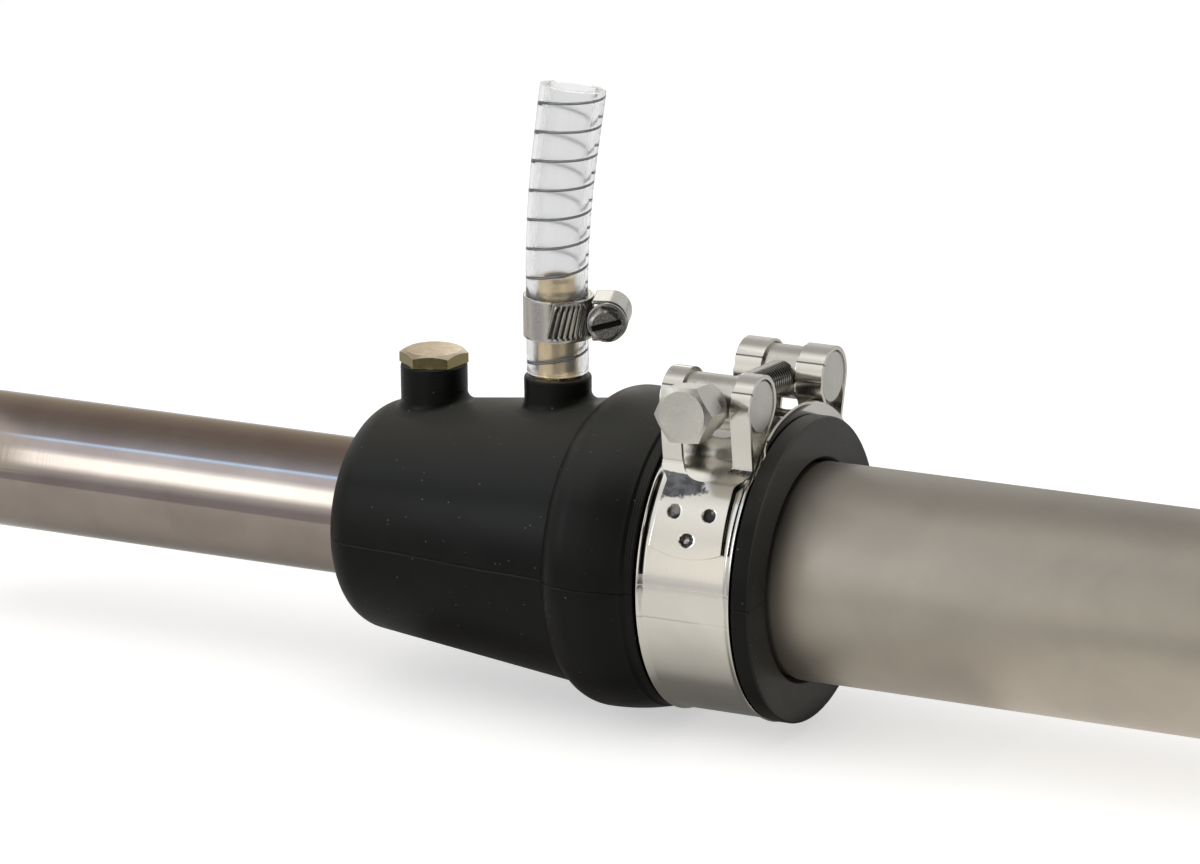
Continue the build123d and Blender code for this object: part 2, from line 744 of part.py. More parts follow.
def make_clamp_bolt():
    """Head on -Y against the front trunnion's flat, shank through both trunnions."""
    seat = -trunnion_y - trunnion_d / 2 + bolt_seat_depth - nest_gap
    end = trunnion_y + trunnion_d / 2 + bolt_beyond_rear
    shank = Pos(0, (seat + end) / 2, 0) * Rot(X=90) * Cylinder(bolt_d / 2, end - seat)
    shank = chamfer(shank.edges().sort_by(Axis.Y)[-1], 0.7)
    collar = Pos(0, seat - bolt_collar_t / 2, 0) * Rot(X=90) * Cylinder(bolt_collar_d / 2, bolt_collar_t)
    collar = fillet(collar.edges().sort_by(Axis.Y)[-1], bolt_collar_round)
    head = Pos(0, seat - bolt_collar_t, 0) * Rot(X=90) * hexagon_head(bolt_af, bolt_head_t)
    return in_clamp_frame(Pos(0, 0, trunnion_h) * (shank + collar + head))


inner_seal = make_seal(bore_left + collar_gap / 2)
outer_seal = make_seal(outer_seal_left)

nodes = {
    "housing": make_housing(),
    "inner_seal_case": inner_seal[0],
    "inner_seal_lip": inner_seal[1],
    "inner_seal_spring": inner_seal[2],
    "grease_ring": make_grease_ring(),
    "outer_seal_case": outer_seal[0],
    "outer_seal_lip": outer_seal[1],
    "outer_seal_spring": outer_seal[2],
    "bearing_shell": make_bearing_shell(),
    "bearing_liner": make_bearing_liner(),
    "plug_bush": make_plug_bush(),
    "filler_plug": make_filler_plug(),
    "hose_tail": make_hose_tail(),
    "hose": make_hose(),
    "hose_wire": make_hose_wire(),
    "worm_band": make_worm_band(),
    "worm_housing": make_worm_housing(),
    "worm_screw": make_worm_screw(),
    "clamp_band": make_clamp_band(),
    "clamp_bridge": make_clamp_bridge(),
    "front_trunnion": make_front_trunnion(),
    "rear_trunnion": make_rear_trunnion(),
    "clamp_bolt": make_clamp_bolt(),
    "propeller_shaft": make_propeller_shaft(),
    "stern_tube": make_stern_tube(),
}

os.makedirs("parts", exist_ok=True)
for name, shape in nodes.items():
    export_step(shape, f"parts/{name}.step")
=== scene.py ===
from math import asin, atan2, cos, degrees, exp, pi, radians, sin, sqrt, tan

import bmesh
import bpy
import numpy as np
from mathutils import Matrix, Vector


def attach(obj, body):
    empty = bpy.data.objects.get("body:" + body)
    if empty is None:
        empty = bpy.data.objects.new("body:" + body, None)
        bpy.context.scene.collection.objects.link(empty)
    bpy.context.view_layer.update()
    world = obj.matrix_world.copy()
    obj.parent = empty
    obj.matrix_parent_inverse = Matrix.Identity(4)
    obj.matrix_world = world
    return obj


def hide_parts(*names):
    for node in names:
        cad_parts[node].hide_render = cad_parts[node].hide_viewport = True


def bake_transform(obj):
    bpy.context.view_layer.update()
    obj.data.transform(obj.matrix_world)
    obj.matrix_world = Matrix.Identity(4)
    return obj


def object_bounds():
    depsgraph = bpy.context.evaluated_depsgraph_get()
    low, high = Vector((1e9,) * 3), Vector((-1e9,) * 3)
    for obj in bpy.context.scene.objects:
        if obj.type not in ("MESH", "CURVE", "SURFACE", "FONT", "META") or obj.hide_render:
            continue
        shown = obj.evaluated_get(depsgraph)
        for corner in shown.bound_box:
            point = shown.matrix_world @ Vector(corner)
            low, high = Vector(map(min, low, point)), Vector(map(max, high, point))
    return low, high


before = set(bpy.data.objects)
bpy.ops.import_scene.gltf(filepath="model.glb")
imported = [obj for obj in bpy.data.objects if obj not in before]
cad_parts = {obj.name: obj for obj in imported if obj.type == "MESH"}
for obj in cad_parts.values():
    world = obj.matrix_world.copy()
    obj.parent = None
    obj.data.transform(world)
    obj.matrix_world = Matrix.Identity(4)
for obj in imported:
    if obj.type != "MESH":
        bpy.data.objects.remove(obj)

cadLow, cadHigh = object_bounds()
mm = 0.001    # every size below is in millimetres until a mesh is made
mergeDistance = 2e-7    # metres
bevelAngle = radians(50)    # edges sharper than this are rounded
scene = bpy.context.scene
print("frame loaded:", len(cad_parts), "nodes")


def addObject(name, data):
    made = bpy.data.objects.new(name, data)
    scene.collection.objects.link(made)
    return made


def newMesh(name, points, faces):
    mesh = bpy.data.meshes.new(name)
    mesh.from_pydata((np.asarray(points, float) * mm).tolist(), [], faces)
    return mesh


# camera, at the photo's angle

photoView = dict(
    azimuth=26.77, elevation=15.99, roll=-0.49, focalPixels=6000.0, imageWidth=1200,
    aimRight=-44.95, aimUp=29.02, distance=1261.02, sensorWidth=36.0, clipStart=0.05,
)


def placeCamera(v):
    turn, rise, roll = (radians(v[name]) for name in ("azimuth", "elevation", "roll"))
    back = Vector((sin(turn) * cos(rise), -cos(turn) * cos(rise), sin(rise)))
    level = Vector((cos(turn), sin(turn), 0))
    tall = back.cross(level)
    right = level * cos(roll) + tall * sin(roll)
    up = tall * cos(roll) - level * sin(roll)
    place = (back * v["distance"] + right * v["aimRight"] + up * v["aimUp"]) * mm
    camera = addObject("camera", bpy.data.cameras.new("camera"))
    camera.matrix_world = Matrix.Translation(place) @ Matrix((right, up, back)).transposed().to_4x4()
    camera.data.sensor_width = v["sensorWidth"]
    camera.data.lens = v["focalPixels"] / v["imageWidth"] * v["sensorWidth"]
    camera.data.clip_start = v["clipStart"]
    scene.camera = camera


placeCamera(photoView)
print("camera placed")


# mesh helpers

def shadeMesh(mesh, sharpAngle):
    mesh.shade_smooth()
    mesh.set_sharp_from_angle(angle=radians(sharpAngle))


def makePiece(name, points, faces, material, body, slotName, sharpAngle=38.0, **masks):
    # each mask gives one value per point, for the material to read
    mesh = newMesh(name, points, faces)
    for maskName, values in masks.items():
        layer = mesh.attributes.new(maskName, "FLOAT", "POINT")
        layer.data.foreach_set("value", np.asarray(values, np.float32))
    work = bmesh.new()
    work.from_mesh(mesh)
    bmesh.ops.remove_doubles(work, verts=work.verts, dist=mergeDistance)
    bmesh.ops.recalc_face_normals(work, faces=work.faces)
    work.to_mesh(mesh)
    work.free()
    shadeMesh(mesh, sharpAngle)
    mesh.materials.append(material)
    piece = addObject(name, mesh)
    if body:
        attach(piece, body)
    return piece


def settle(piece, sharpAngle=38.0):
    # the modifiers become part of the mesh, so that edges can be marked sharp by angle
    bpy.context.view_layer.update()
    shown = piece.evaluated_get(bpy.context.evaluated_depsgraph_get())
    mesh = bpy.data.meshes.new_from_object(shown)
    piece.modifiers.clear()
    piece.data = mesh
    shadeMesh(mesh, sharpAngle)


def thicken(piece, thickness, edge, segments=2, even=False):
    # a bent sheet gets its thickness and small rounded edges
    shell = piece.modifiers.new("shell", "SOLIDIFY")
    shell.thickness = thickness * mm
    shell.offset = 0.0
    shell.use_even_offset = even
    soften = piece.modifiers.new("edges", "BEVEL")
    soften.width = edge * mm
    soften.segments = segments
    soften.limit_method = "ANGLE"
    soften.angle_limit = bevelAngle
    settle(piece)


def gridFaces(rows, columns, closeRows=False, closeColumns=False, first=0):
    faces = []
    for i in range(rows if closeRows else rows - 1):
        for j in range(columns if closeColumns else columns - 1):
            k, n = (i + 1) % rows, (j + 1) % columns
            faces.append(tuple(first + a * columns + b for a, b in ((i, j), (i, n), (k, n), (k, j))))
    return faces


def eased(value, low, high):
    t = min(max((value - low) / (high - low), 0.0), 1.0)
    return t * t * (3 - 2 * t)


def evenTurns(count):
    return [2 * pi * i / count for i in range(count)]


def moved(points, matrix):
    m = np.array(matrix)
    return np.asarray(points, float) @ m[:3, :3].T + m[:3, 3]


def spin(profile, turns):
    # profile of (x, radius) points about the shaft; a turn of 90 degrees looks towards -Y
    return [(x, -r * sin(t), r * cos(t)) for x, r in profile for t in turns]


def aboutAxis(rings):
    # rings of (radius, z) points about the Z axis
    return [
        (r * cos(2 * pi * i / len(ring)), r * sin(2 * pi * i / len(ring)), z)
        for ring in rings for i, (r, z) in enumerate(ring)]


def roundOff(corners, steps=8):
    # outline of (x, y, radius) corners, each with a radius replaced by its arc
    points = []
    for i, (x, y, radius) in enumerate(corners):
        if not radius:
            points.append((x, y))
            continue
        here = Vector((x, y))
        before = (Vector(corners[i - 1][:2]) - here).normalized()
        after = (Vector(corners[(i + 1) % len(corners)][:2]) - here).normalized()
        half = before.angle(after) / 2
        middle = here + (before + after).normalized() * radius / sin(half)
        start = here + before * radius / tan(half)
        end = here + after * radius / tan(half)
        a = atan2(start.y - middle.y, start.x - middle.x)
        turn = (atan2(end.y - middle.y, end.x - middle.x) - a + pi) % (2 * pi) - pi
        for k in range(steps + 1):
            angle = a + turn * k / steps
            points.append((middle.x + radius * cos(angle), middle.y + radius * sin(angle)))
    return points


def turned(name, corners, material, body, slotName, turnCount, closed=True):
    profile = roundOff(corners, 6)
    faces = gridFaces(len(profile), turnCount, closeRows=closed, closeColumns=True)
    return makePiece(name, spin(profile, evenTurns(turnCount)), faces, material, body, slotName)


def hexHead(flats, height, chamfer, count=96, degreesTurned=0.0):
    # hexagon along +Z whose top corners are turned off, given as rings about the axis
    topRadius = flats / 2 * (1 - chamfer)
    edge = []
    for i in range(count):
        part = (360 * i / count) % 60 - 30
        reach = flats / 2 / cos(radians(part))
        edge.append((reach, height - 0.5 * max(reach - topRadius, 0)))
    rings = [[(0.0, height)] * count, [(topRadius, height)] * count, edge, [(r, 0.0) for r, _ in edge]]
    turn = round(degreesTurned * count / 360)
    return [ring[-turn:] + ring[:-turn] for ring in rings]


def threadCut(travel, pitch, share):
    # how deep the groove is, from 0 to 1, at a share of a turn round the thread
    phase = (travel / pitch - share) % 1.0
    return min(max(1.25 - 2.5 * abs(phase - 0.5), 0.0), 1.0)


# materials

def newMaterial(name):
    material = bpy.data.materials.new(name)
    material.use_nodes = True
    return material, material.node_tree, material.node_tree.nodes["Principled BSDF"]


def setInputs(tree, node, values):
    # each socket takes a link from another node, or a plain value
    for key, value in values.items():
        if hasattr(value, "is_linked"):
            tree.links.new(value, node.inputs[key])
        else:
            node.inputs[key].default_value = value


def addNode(tree, kind, values=None, settings=None):
    node = tree.nodes.new("ShaderNode" + kind)
    for key, value in (settings or {}).items():
        setattr(node, key, value)
    setInputs(tree, node, values or {})
    return node


def makeGroup(name, inputs, outputs):
    group = bpy.data.node_groups.new(name, "ShaderNodeTree")
    for socketName, value in inputs.items():
        kind = "NodeSocketVector" if isinstance(value, tuple) else "NodeSocketFloat"
        group.interface.new_socket(name=socketName, in_out="INPUT", socket_type=kind).default_value = value
    for socketName in outputs:
        group.interface.new_socket(name=socketName, in_out="OUTPUT", socket_type="NodeSocketFloat")
    return group, group.nodes.new("NodeGroupInput").outputs, group.nodes.new("NodeGroupOutput")


def placeGroup(tree, group, values=None):
    node = tree.nodes.new("ShaderNodeGroup")
    node.node_tree = group
    setInputs(tree, node, values or {})
    return node.outputs


def calculate(tree, operation, a, b=0.0):
    return addNode(tree, "Math", {0: a, 1: b}, dict(operation=operation)).outputs[0]


def mixColors(tree, factor, a, b):
    a, b = ((*color, 1.0) if isinstance(color, tuple) else color for color in (a, b))
    return addNode(tree, "Mix", {0: factor, 6: a, 7: b}, dict(data_type="RGBA")).outputs[2]


def spread(tree, value, low, high, toLow=0.0, toHigh=1.0):
    numbers = {"From Min": low, "From Max": high, "To Min": toLow, "To Max": toHigh}
    return addNode(tree, "MapRange", {"Value": value, **numbers}).outputs["Result"]


def readMask(tree, name):
    # a mask painted on the mesh, zero where a mesh has none
    return addNode(tree, "Attribute", settings=dict(attribute_name=name)).outputs["Fac"]


def objectPlace(tree):
    return addNode(tree, "TexCoord").outputs["Object"]


def addNoise(tree, place, scale, detail, roughness=0.5, distortion=0.0):
    return addNode(tree, "TexNoise", {
        "Vector": place, "Scale": scale, "Detail": detail, "Roughness": roughness, "Distortion": distortion,
    }).outputs["Fac"]


def splitVector(tree, vector):
    return addNode(tree, "SeparateXYZ", {"Vector": vector}).outputs


def bumpNormal(tree, height, distance):
    return addNode(tree, "Bump", {"Height": height, "Strength": 1.0, "Distance": distance}).outputs["Normal"]


def buildGrain():
    # fine grain or drawn lines: noise stretched by Stretch, given as a height and as patches of tone
    group, given, out = makeGroup(
        "grain", {"Scale": 400.0, "Stretch": (1, 1, 1), "Detail": 3.0}, ("Height", "Tone"))
    values = {0: objectPlace(group), 1: given["Stretch"]}
    place = addNode(group, "VectorMath", values, dict(operation="MULTIPLY")).outputs[0]
    fine = addNoise(group, place, given["Scale"], given["Detail"], 0.6)
    setInputs(group, out, {"Height": fine, "Tone": spread(group, fine, 0.35, 0.65)})
    return group


def buildRings():
    # fine turned or drawn lines round the shaft's axis, changing only along X
    group, given, out = makeGroup("turnedLines", {"Scale": 3000.0, "Wander": 0.02}, ("Height", "Tone"))
    parts = splitVector(group, objectPlace(group))
    along = calculate(group, "ADD", parts["X"], calculate(group, "MULTIPLY", parts["Z"], given["Wander"]))
    values = {"W": along, "Scale": given["Scale"], "Detail": 2.0}
    line = addNode(group, "TexNoise", values, dict(noise_dimensions="1D")).outputs["Fac"]
    setInputs(group, out, {"Height": line, "Tone": spread(group, line, 0.35, 0.65)})
    return group


def buildSmudge():
    # soft patches from handling, and sparse specks of dust
    group, given, out = makeGroup(
        "handling", {"Patch Scale": 45.0, "Speck Scale": 900.0, "Speck Size": 0.16}, ("Patch", "Speck"))
    place = objectPlace(group)
    patch = addNoise(group, place, given["Patch Scale"], 4.0, 0.55, 0.4)
    cells = addNode(group, "TexVoronoi", {"Vector": place, "Scale": given["Speck Scale"]}).outputs
    near = calculate(group, "LESS_THAN", cells["Distance"], given["Speck Size"])
    pick = addNode(group, "SeparateColor", {"Color": cells["Color"]}).outputs[0]
    chosen = calculate(group, "GREATER_THAN", pick, 0.93)    # only a few of the cells hold a speck
    speck = calculate(group, "MULTIPLY", near, chosen)
    setInputs(group, out, {"Patch": spread(group, patch, 0.42, 0.68), "Speck": speck})
    return group


grainGroup = buildGrain()
ringGroup = buildRings()
smudgeGroup = buildSmudge()

rubberLook = dict(
    base=(0.004, 0.004, 0.0034), worn=(0.0065, 0.0065, 0.0055), dust=(0.09, 0.09, 0.08),
    paintedLight=(0.07, 0.068, 0.06), paintedShade=(0.002, 0.002, 0.002),
    roughLow=0.34, roughHigh=0.46, grainScale=2200.0, grainDepth=0.00001, sheen=0.15,
    topLightFrom=0.5, topLightFull=0.98, topLightShare=0.7, paleShare=0.75,
)


def makeRubber(name, look):
    # black moulding with dust specks, painted lighter on what faces up and on the collar's face, and painted
    # darker in the seam's groove and on the flank beside the clamp
    material, tree, shader = newMaterial(name)
    handled = placeGroup(tree, smudgeGroup)
    skin = placeGroup(tree, grainGroup, {"Scale": look["grainScale"]})
    upward = splitVector(tree, addNode(tree, "NewGeometry").outputs["Normal"])["Z"]
    color = mixColors(tree, handled["Patch"], look["base"], look["worn"])
    # painted light: what faces up and the top of the collar's face are coloured lighter, standing in for the
    # light they catch
    for mask, tint in (
            (spread(tree, upward, look["topLightFrom"], look["topLightFull"], 0.0, look["topLightShare"]), look["paintedLight"]),
            (calculate(tree, "MULTIPLY", readMask(tree, "pale"), look["paleShare"]), look["paintedLight"]),
            (handled["Speck"], look["dust"]), (readMask(tree, "seam"), look["paintedShade"])):
        color = mixColors(tree, mask, color, tint)
    rough = spread(tree, handled["Patch"], 0.0, 1.0, look["roughLow"], look["roughHigh"])
    normal = bumpNormal(tree, skin["Height"], look["grainDepth"])
    setInputs(tree, shader, {
        "Base Color": color, "Roughness": rough, "Normal": normal, "Specular IOR Level": look["sheen"]})
    return material


# the crease tint and the darkest tint paint shade on the polished steel; the dirt tints colour both the smear
# and painted shade beside the outer leg
markLook = dict(
    brokenScale=900.0, cloudyScale=420.0, smearRise=0.18, scaleRise=0.25,
    heat=(0.62, 0.46, 0.27), crease=(0.3, 0.29, 0.27), shadeLine=(0.02, 0.019, 0.017),
    dirtAndShade=((0.04, 0.042, 0.05), (0.13, 0.135, 0.15)), scorch=((0.045, 0.043, 0.038), (0.22, 0.22, 0.2)),
)


def addMarks(tree, look, color, rough):
    # heat tint and scale round the welds, the smear that polishing left below the slot with painted shade
    # beside the outer leg's foot, and painted shade along the creases and in the dark lines
    place = objectPlace(tree)
    broken = addNoise(tree, place, look["brokenScale"], 5.0, 0.65)
    cloudy = addNoise(tree, place, look["cloudyScale"], 3.0, 0.6)
    loose = calculate(tree, "MULTIPLY", calculate(tree, "SUBTRACT", broken, 0.5), 2.0)
    smearAndShade = spread(tree, calculate(tree, "ADD", readMask(tree, "smearAndShade"), loose), 0.35, 0.75)
    scale = spread(tree, calculate(tree, "ADD", readMask(tree, "scale"), loose), 0.4, 0.7)
    dirtAndShade = mixColors(tree, spread(tree, cloudy, 0.42, 0.62), *look["dirtAndShade"])
    scorch = mixColors(tree, spread(tree, cloudy, 0.5, 0.6), *look["scorch"])
    for mask, tint in (
            (readMask(tree, "heat"), look["heat"]), (calculate(tree, "MULTIPLY", smearAndShade, 0.92), dirtAndShade),
            (readMask(tree, "crease"), look["crease"]), (scale, scorch),
            (readMask(tree, "shadeLine"), look["shadeLine"])):
        color = mixColors(tree, mask, color, tint)
    for mask, rise in ((smearAndShade, look["smearRise"]), (scale, look["scaleRise"])):
        rough = calculate(tree, "ADD", rough, calculate(tree, "MULTIPLY", mask, rise))
    return color, rough


def makeMetal(name, look):
    # metal with a drawn or turned grain, faint handling marks and what its masks paint
    material, tree, shader = newMaterial(name)
    handled = placeGroup(tree, smudgeGroup, {"Patch Scale": look.get("patchScale", 60.0)})
    if look.get("turned"):
        lines = placeGroup(tree, ringGroup, {"Scale": look["grainScale"]})
    else:
        stretch = look.get("stretch", (1, 1, 1))
        lines = placeGroup(tree, grainGroup, {"Scale": look["grainScale"], "Stretch": stretch})
    color = mixColors(tree, handled["Patch"], look["base"], look["stain"])
    rough = spread(tree, lines["Tone"], 0.0, 1.0, look["roughLow"], look["roughHigh"])
    normal = bumpNormal(tree, lines["Height"], look["grainDepth"])
    if look.get("marked"):
        color, rough = addMarks(tree, markLook, color, rough)
    for maskName, tint in look.get("painted", {}).items():
        color = mixColors(tree, readMask(tree, maskName), color, tint)
    setInputs(tree, shader, {"Base Color": color, "Roughness": rough, "Normal": normal, "Metallic": 1.0})
    return material


def makePlastic(name, color, roughness):
    material, tree, shader = newMaterial(name)
    skin = placeGroup(tree, grainGroup, {"Scale": 900.0})
    handled = placeGroup(tree, smudgeGroup)
    setInputs(tree, shader, {
        "Base Color": mixColors(tree, handled["Patch"], color, tuple(c * 0.85 for c in color)),
        "Roughness": spread(tree, skin["Tone"], 0.0, 1.0, roughness * 0.9, roughness * 1.1),
        "Normal": bumpNormal(tree, skin["Height"], 0.00001)})
    return material


hoseLook = dict(
    base=(0.872, 0.873, 0.878), cloud=(0.86, 0.862, 0.867), patchScale=120.0,
    roughLow=0.02, roughHigh=0.04, boreRise=0.32, refraction=1.3, clear=0.93,
)


def makeClear(name, look):
    # clear plastic with a clouded bore, so what lies behind it looks fainter
    material, tree, shader = newMaterial(name)
    haze = placeGroup(tree, smudgeGroup, {"Patch Scale": look["patchScale"]})["Patch"]
    rough = spread(tree, haze, 0.0, 1.0, look["roughLow"], look["roughHigh"])
    bore = calculate(tree, "MULTIPLY", readMask(tree, "inner"), look["boreRise"])
    rough = calculate(tree, "ADD", rough, bore)
    setInputs(tree, shader, {
        "Base Color": mixColors(tree, haze, look["base"], look["cloud"]), "Roughness": rough,
        "IOR": look["refraction"], "Transmission Weight": look["clear"]})
    return material


# painted shade: a near-black tint for thread roots and for the slotted band's slots
grooveTint = (0.02, 0.02, 0.018)
steelLooks = dict(
    polished=dict(
        base=(0.76, 0.735, 0.68), stain=(0.7, 0.68, 0.63), roughLow=0.12, roughHigh=0.2,
        grainScale=3500.0, grainDepth=0.0000006, turned=True, marked=True),
    shaft=dict(
        base=(0.42, 0.36, 0.31), stain=(0.37, 0.31, 0.27), roughLow=0.07, roughHigh=0.12,
        grainScale=2600.0, grainDepth=0.0000004, turned=True),
    tube=dict(
        base=(0.455, 0.417, 0.36), stain=(0.415, 0.382, 0.334), roughLow=0.38, roughHigh=0.5,
        grainScale=3000.0, grainDepth=0.000003, stretch=(1, 4, 4)),
    matt=dict(
        base=(0.66, 0.64, 0.59), stain=(0.56, 0.545, 0.5), roughLow=0.26, roughHigh=0.36,
        grainScale=3800.0, grainDepth=0.0000012, painted=dict(groove=grooveTint)),
    clamp=dict(
        base=(0.6, 0.58, 0.53), stain=(0.52, 0.5, 0.45), roughLow=0.2, roughHigh=0.3,
        grainScale=4000.0, grainDepth=0.0000008, stretch=(1, 1, 5), painted=dict(groove=grooveTint)),
    screw=dict(
        base=(0.43, 0.415, 0.4), stain=(0.35, 0.34, 0.325), roughLow=0.18, roughHigh=0.28,
        grainScale=3800.0, grainDepth=0.000001),
    wire=dict(
        base=(0.2, 0.205, 0.215), stain=(0.15, 0.155, 0.165), roughLow=0.3, roughHigh=0.4,
        grainScale=1800.0, grainDepth=0.000001),
    seal=dict(
        base=(0.5, 0.5, 0.5), stain=(0.4, 0.4, 0.4), roughLow=0.3, roughHigh=0.4,
        grainScale=1800.0, grainDepth=0.000002),
    brass=dict(
        base=(0.66, 0.52, 0.29), stain=(0.56, 0.42, 0.22), roughLow=0.2, roughHigh=0.3,
        grainScale=5000.0, grainDepth=0.0000012, patchScale=260.0),
    plug=dict(
        base=(0.98, 0.86, 0.67), stain=(0.88, 0.75, 0.55), roughLow=0.2, roughHigh=0.24,
        grainScale=700.0, grainDepth=0.0000006, patchScale=380.0, painted=dict(tarnish=(0.3, 0.25, 0.125))),
)

rubberBlack = makeRubber("rubberBlack", rubberLook)
sealRubber = makeRubber("sealRubber", dict(rubberLook, base=(0.02, 0.02, 0.02)))
steel = {name: makeMetal(name + "Metal", look) for name, look in steelLooks.items()}
# painted shade: near-black metal for the walls of the screw's slot
slotShadeMetal = makeMetal("slotShadeMetal", dict(steelLooks["screw"], base=(0.03, 0.03, 0.028), stain=(0.02, 0.02, 0.02)))
acetal = makePlastic("acetal", (0.82, 0.8, 0.76), 0.4)
laminate = makePlastic("laminate", (0.16, 0.12, 0.08), 0.5)
clearHose = makeClear("clearHose", hoseLook)

nodeMaterials = dict(
    housing=rubberBlack, inner_seal_case=steel["seal"], inner_seal_lip=sealRubber,
    inner_seal_spring=steel["seal"], grease_ring=acetal, outer_seal_case=steel["seal"],
    outer_seal_lip=sealRubber, outer_seal_spring=steel["seal"], bearing_shell=laminate,
    bearing_liner=sealRubber, plug_bush=steel["brass"], filler_plug=steel["plug"],
    hose_tail=steel["brass"], hose=clearHose, hose_wire=steel["wire"], worm_band=steel["clamp"],
    worm_housing=steel["clamp"], worm_screw=steel["screw"], clamp_band=steel["polished"],
    clamp_bridge=steel["polished"], front_trunnion=steel["matt"], rear_trunnion=steel["matt"],
    clamp_bolt=steel["matt"], propeller_shaft=steel["shaft"], stern_tube=steel["tube"],
)
for nodeName, material in nodeMaterials.items():
    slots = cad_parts[nodeName].data.materials
    for i in range(len(slots)):
        slots[i] = material
    if not len(slots):
        slots.append(material)
print("materials ready")


# shaft and stern tube

shaft = dict(left=-214.0, right=108.0, radius=15.0, chamfer=0.6, turns=192)
tube = dict(
    left=-27.9, right=104.0, shoulder=0.3, bore=19.9, seat=22.6, radius=23.2, rim=0.3, turns=224)


def makeShaft(s):
    r = s["radius"]
    corners = [
        (s["left"], 0, 0), (s["left"], r, s["chamfer"]), (s["right"], r, s["chamfer"]), (s["right"], 0, 0)]
    piece = turned("shaftSteel", corners, steel["shaft"], "shaft", "shaft_steel", s["turns"], closed=False)
    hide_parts("propeller_shaft")


def makeTube(t):
    corners = [
        (t["left"], t["bore"], 0), (t["left"], t["seat"], 0.3), (t["shoulder"], t["seat"], 0),
        (t["shoulder"], t["radius"], 0.2), (t["right"], t["radius"], t["rim"]),
        (t["right"], t["bore"], t["rim"])]
    piece = turned("sternTube", corners, steel["tube"], "gland", "tube_steel", t["turns"])
    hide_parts("stern_tube")


makeShaft(shaft)
makeTube(tube)
print("shaft and tube made")


# rubber housing

housing = dict(
    end=-105.4, endRadius=24.5, endRound=8.0, crown=-42.0, crownRadius=34.5, coneAtCrown=31.7,
    leftRound=8.0, rightRound=50.0, beadLeft=-29.6, beadRight=-26.9, beadRadius=32.4,
    landLeft=-26.0, landRight=-4.0, landRadius=31.3, recessRadius=30.65, recessReach=55.2, collarRadius=32.6,
    mouthRadius=24.05, mouthDepth=2.4, seat=22.65, seatEnd=-28.0, lip=21.3, lipEnd=-31.0,
    cavity=26.5, cavityRight=-33.0, cavityLeft=-43.0, bore=20.0, boreRight=-47.0, boreLeft=-101.0,
    entry=16.5, seamDepth=0.24, seamWidth=0.19, seamWander=0.12, ridges=3, ridgeHeight=0.09, ridgeStart=-28.7,
    shadedFlank=(-39.5, -35.5, -30.5, -29.0), turns=200,
)
clampLean = radians(4.0)    # the clamp leans over towards the back
clampPlace = Matrix.Translation((-15.0, 0, 0)) @ Matrix.Rotation(-clampLean, 4, "X")


def coneRadius(x):
    h = housing
    return h["endRadius"] + (h["coneAtCrown"] - h["endRadius"]) * (x - h["end"]) / (h["crown"] - h["end"])


def housingOutline(h):
    # outside from the left bore to the mouth, with the bulge's two rounds worked out
    leftCentre = h["crownRadius"] - h["leftRound"]
    meet = next(a for a in np.linspace(0, pi / 2, 2000)
                if leftCentre + h["leftRound"] * sin(a) >= coneRadius(h["crown"] - h["leftRound"] * cos(a)))
    meetX = h["crown"] - h["leftRound"] * cos(meet)
    points = roundOff([
        (h["end"], h["entry"], 0), (h["end"], h["endRadius"], h["endRound"]),
        (meetX, coneRadius(meetX), 0)], 14)
    coneStart = points[-2][0]
    along = [coneStart + (meetX - coneStart) * (k / 12) for k in range(1, 12)]
    points[-1:-1] = [(x, coneRadius(x)) for x in along]
    points += [
        (h["crown"] - h["leftRound"] * cos(a), leftCentre + h["leftRound"] * sin(a))
        for a in np.linspace(meet, pi / 2, 14)[1:]]
    reach = asin((h["beadLeft"] - h["crown"]) / h["rightRound"])
    rightCentre = h["crownRadius"] - h["rightRound"]
    points += [
        (h["crown"] + h["rightRound"] * sin(a), rightCentre + h["rightRound"] * cos(a))
        for a in np.linspace(0, reach, 12)[1:]]
    # the bulge runs out into soft ridges beside the clamp
    start = points[-1]
    for k in range(1, 9):
        ease = 0.5 - 0.5 * cos(pi * k / 8)
        x = start[0] + (h["ridgeStart"] - start[0]) * k / 8
        points.append((x, start[1] + (h["beadRadius"] - h["ridgeHeight"] - start[1]) * ease))
    steps = 8 * h["ridges"]
    for k in range(1, steps + 1):
        x = h["ridgeStart"] + (h["beadRight"] - h["ridgeStart"]) * k / steps
        wave = 0.5 - 0.5 * cos(2 * pi * h["ridges"] * k / steps)
        points.append((x, h["beadRadius"] - h["ridgeHeight"] * (1 - wave)))
    beadFoot = h["beadRight"] + 0.3
    points += roundOff([
        (h["beadRight"], h["beadRadius"], 0), (h["beadRight"] + 0.25, h["beadRadius"] - 0.05, 0.2),
        (beadFoot, h["landRadius"], 0)], 4)[1:-1]
    points += [(x, h["landRadius"]) for x in (
        beadFoot, h["landLeft"], h["landLeft"] + 0.02, h["landRight"] - 0.02, h["landRight"])]
    points += roundOff([
        (h["landRight"], h["landRadius"], 0), (h["landRight"], h["collarRadius"], 0.3),
        (0, h["collarRadius"], 0.5), (0, h["mouthRadius"], 0.5), (-h["mouthDepth"], h["seat"], 0)])[1:]
    return points


